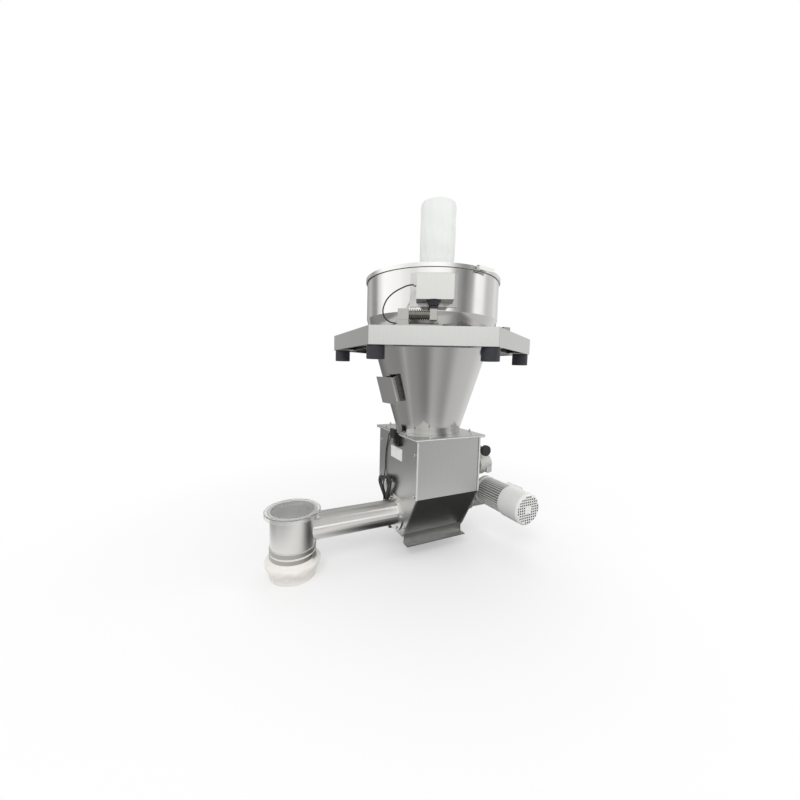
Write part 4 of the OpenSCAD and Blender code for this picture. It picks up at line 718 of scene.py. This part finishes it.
# Painted shadow: the floor's glow for glossy rays drops to 0.04 under the machine, where its shadow falls.
under = add_node(tree, "ShaderNodeVectorMath", {0: here, 1: (0.22, -0.15, FLOOR_Z)}, operation="SUBTRACT")
under = add_node(tree, "ShaderNodeVectorMath", {0: under.outputs["Vector"], 1: (0.72, 1.3, 0)},
                 operation="MULTIPLY")
under = add_node(tree, "ShaderNodeVectorMath", {0: under.outputs["Vector"]}, operation="LENGTH")
painted_shadow_under_machine = ramp(tree, under.outputs["Value"], [(0.0, 0.04), (0.35, 0.04), (0.62, 1.0), (0.8, 1.2),
                                                (1.1, 1.0), (3.0, 1.0)])
beyond = add_node(tree, "ShaderNodeMapRange", {"Value": far, "From Min": 1.25, "From Max": 1.55},
                  interpolation_type="SMOOTHSTEP")
round_floor = add_node(tree, "ShaderNodeMix", {"Factor": beyond.outputs["Result"], "A": 1.0,
                                               "B": around_floor})
glow = add_node(tree, "ShaderNodeMath", {0: round_floor.outputs["Result"], 1: painted_shadow_under_machine},
                operation="MULTIPLY")
painted_floor_reflection = add_node(tree, "ShaderNodeEmission", {"Strength": glow.outputs["Value"]})
ray = add_node(tree, "ShaderNodeLightPath")
seen = seen_straight(tree, ray)
shown = add_node(tree, "ShaderNodeMixShader", {0: fade.outputs["Result"], 1: matt.outputs[0],
                                               2: white.outputs[0]})
mirrored = add_node(tree, "ShaderNodeMixShader", {0: ray.outputs["Is Glossy Ray"], 1: grey.outputs[0],
                                                  2: painted_floor_reflection.outputs[0]})
whole = add_node(tree, "ShaderNodeMixShader", {0: seen, 1: mirrored.outputs[0],
                                               2: shown.outputs[0]})
tree.links.new(whole.outputs[0], tree.nodes["Material Output"].inputs["Surface"])

floor_mesh = bpy.data.meshes.new("floor")
corners = [(x * FLOOR_HALF, y * FLOOR_HALF, FLOOR_Z) for x, y in ((-1, -1), (1, -1), (1, 1), (-1, 1))]
floor_mesh.from_pydata(corners, [], [(0, 1, 2, 3)])
floor_mesh.materials.append(floor_paint)
floor = bpy.data.objects.new("floor", floor_mesh)
bpy.context.scene.collection.objects.link(floor)

world = bpy.data.worlds.new("light_tent")
bpy.context.scene.world = world
world.use_nodes = True
tree = world.node_tree
way = add_node(tree, "ShaderNodeTexCoord").outputs["Generated"]
around_tent = by_bearing(tree, way, [(-180, 1.2), (-165, 1.05), (-150, 0.95), (-140, 1.15), (-112, 1.3),
                                     (-95, 1.2), (-80, 0.45), (-66, 0.25), (-52, 0.45), (-43, 1.25),
                                     (-30, 1.15), (-17, 0.65), (-3, 0.7), (12, 0.85), (30, 0.65),
                                     (42, 0.75), (60, 0.6), (81, 0.3), (100, 0.5), (108, 0.55),
                                     (116, 0.35), (128, 0.32), (136, 0.9), (150, 1.3), (180, 1.2)])
height = add_node(tree, "ShaderNodeSeparateXYZ", {0: way})
overhead = add_node(tree, "ShaderNodeMapRange", {"Value": height.outputs["Z"], "From Min": 0.2,
                                                 "From Max": 1.0, "To Min": 1.28, "To Max": 1.4})
tent = add_node(tree, "ShaderNodeMath", {0: around_tent, 1: overhead.outputs["Result"]}, operation="MULTIPLY")
ray = add_node(tree, "ShaderNodeLightPath")
plain = add_node(tree, "ShaderNodeMix", {"Factor": ray.outputs["Is Glossy Ray"], "A": 0.62,
                                         "B": tent.outputs["Value"]})
seen = seen_straight(tree, ray)
final = add_node(tree, "ShaderNodeMix", {"Factor": seen, "A": plain.outputs["Result"],
                                         "B": 1.0})
back = tree.nodes["Background"]
back.inputs["Color"].default_value = (1, 1, 1, 1)
tree.links.new(final.outputs["Result"], back.inputs["Strength"])

for name, place, aim, watts, width in [
        ("key_lamp", (-2.2, -2.4, 2.2), (0, 0, -0.2), 60, 1.6),
        ("fill_lamp", (2.6, -1.6, 1.0), (0, 0, -0.3), 26, 1.8),
        ("top_lamp", (0.2, 0.6, 2.8), (0, 0, -0.3), 30, 2.2)]:
    light = bpy.data.lights.new(name, "AREA")
    light.energy = watts
    light.size = width
    lamp = bpy.data.objects.new(name, light)
    bpy.context.scene.collection.objects.link(lamp)
    lamp.location = place
    lamp.visible_glossy = False
    lamp.rotation_euler = (Vector(aim) - Vector(place)).to_track_quat("-Z", "Y").to_euler()

bpy.context.scene.view_settings.view_transform = "Standard"
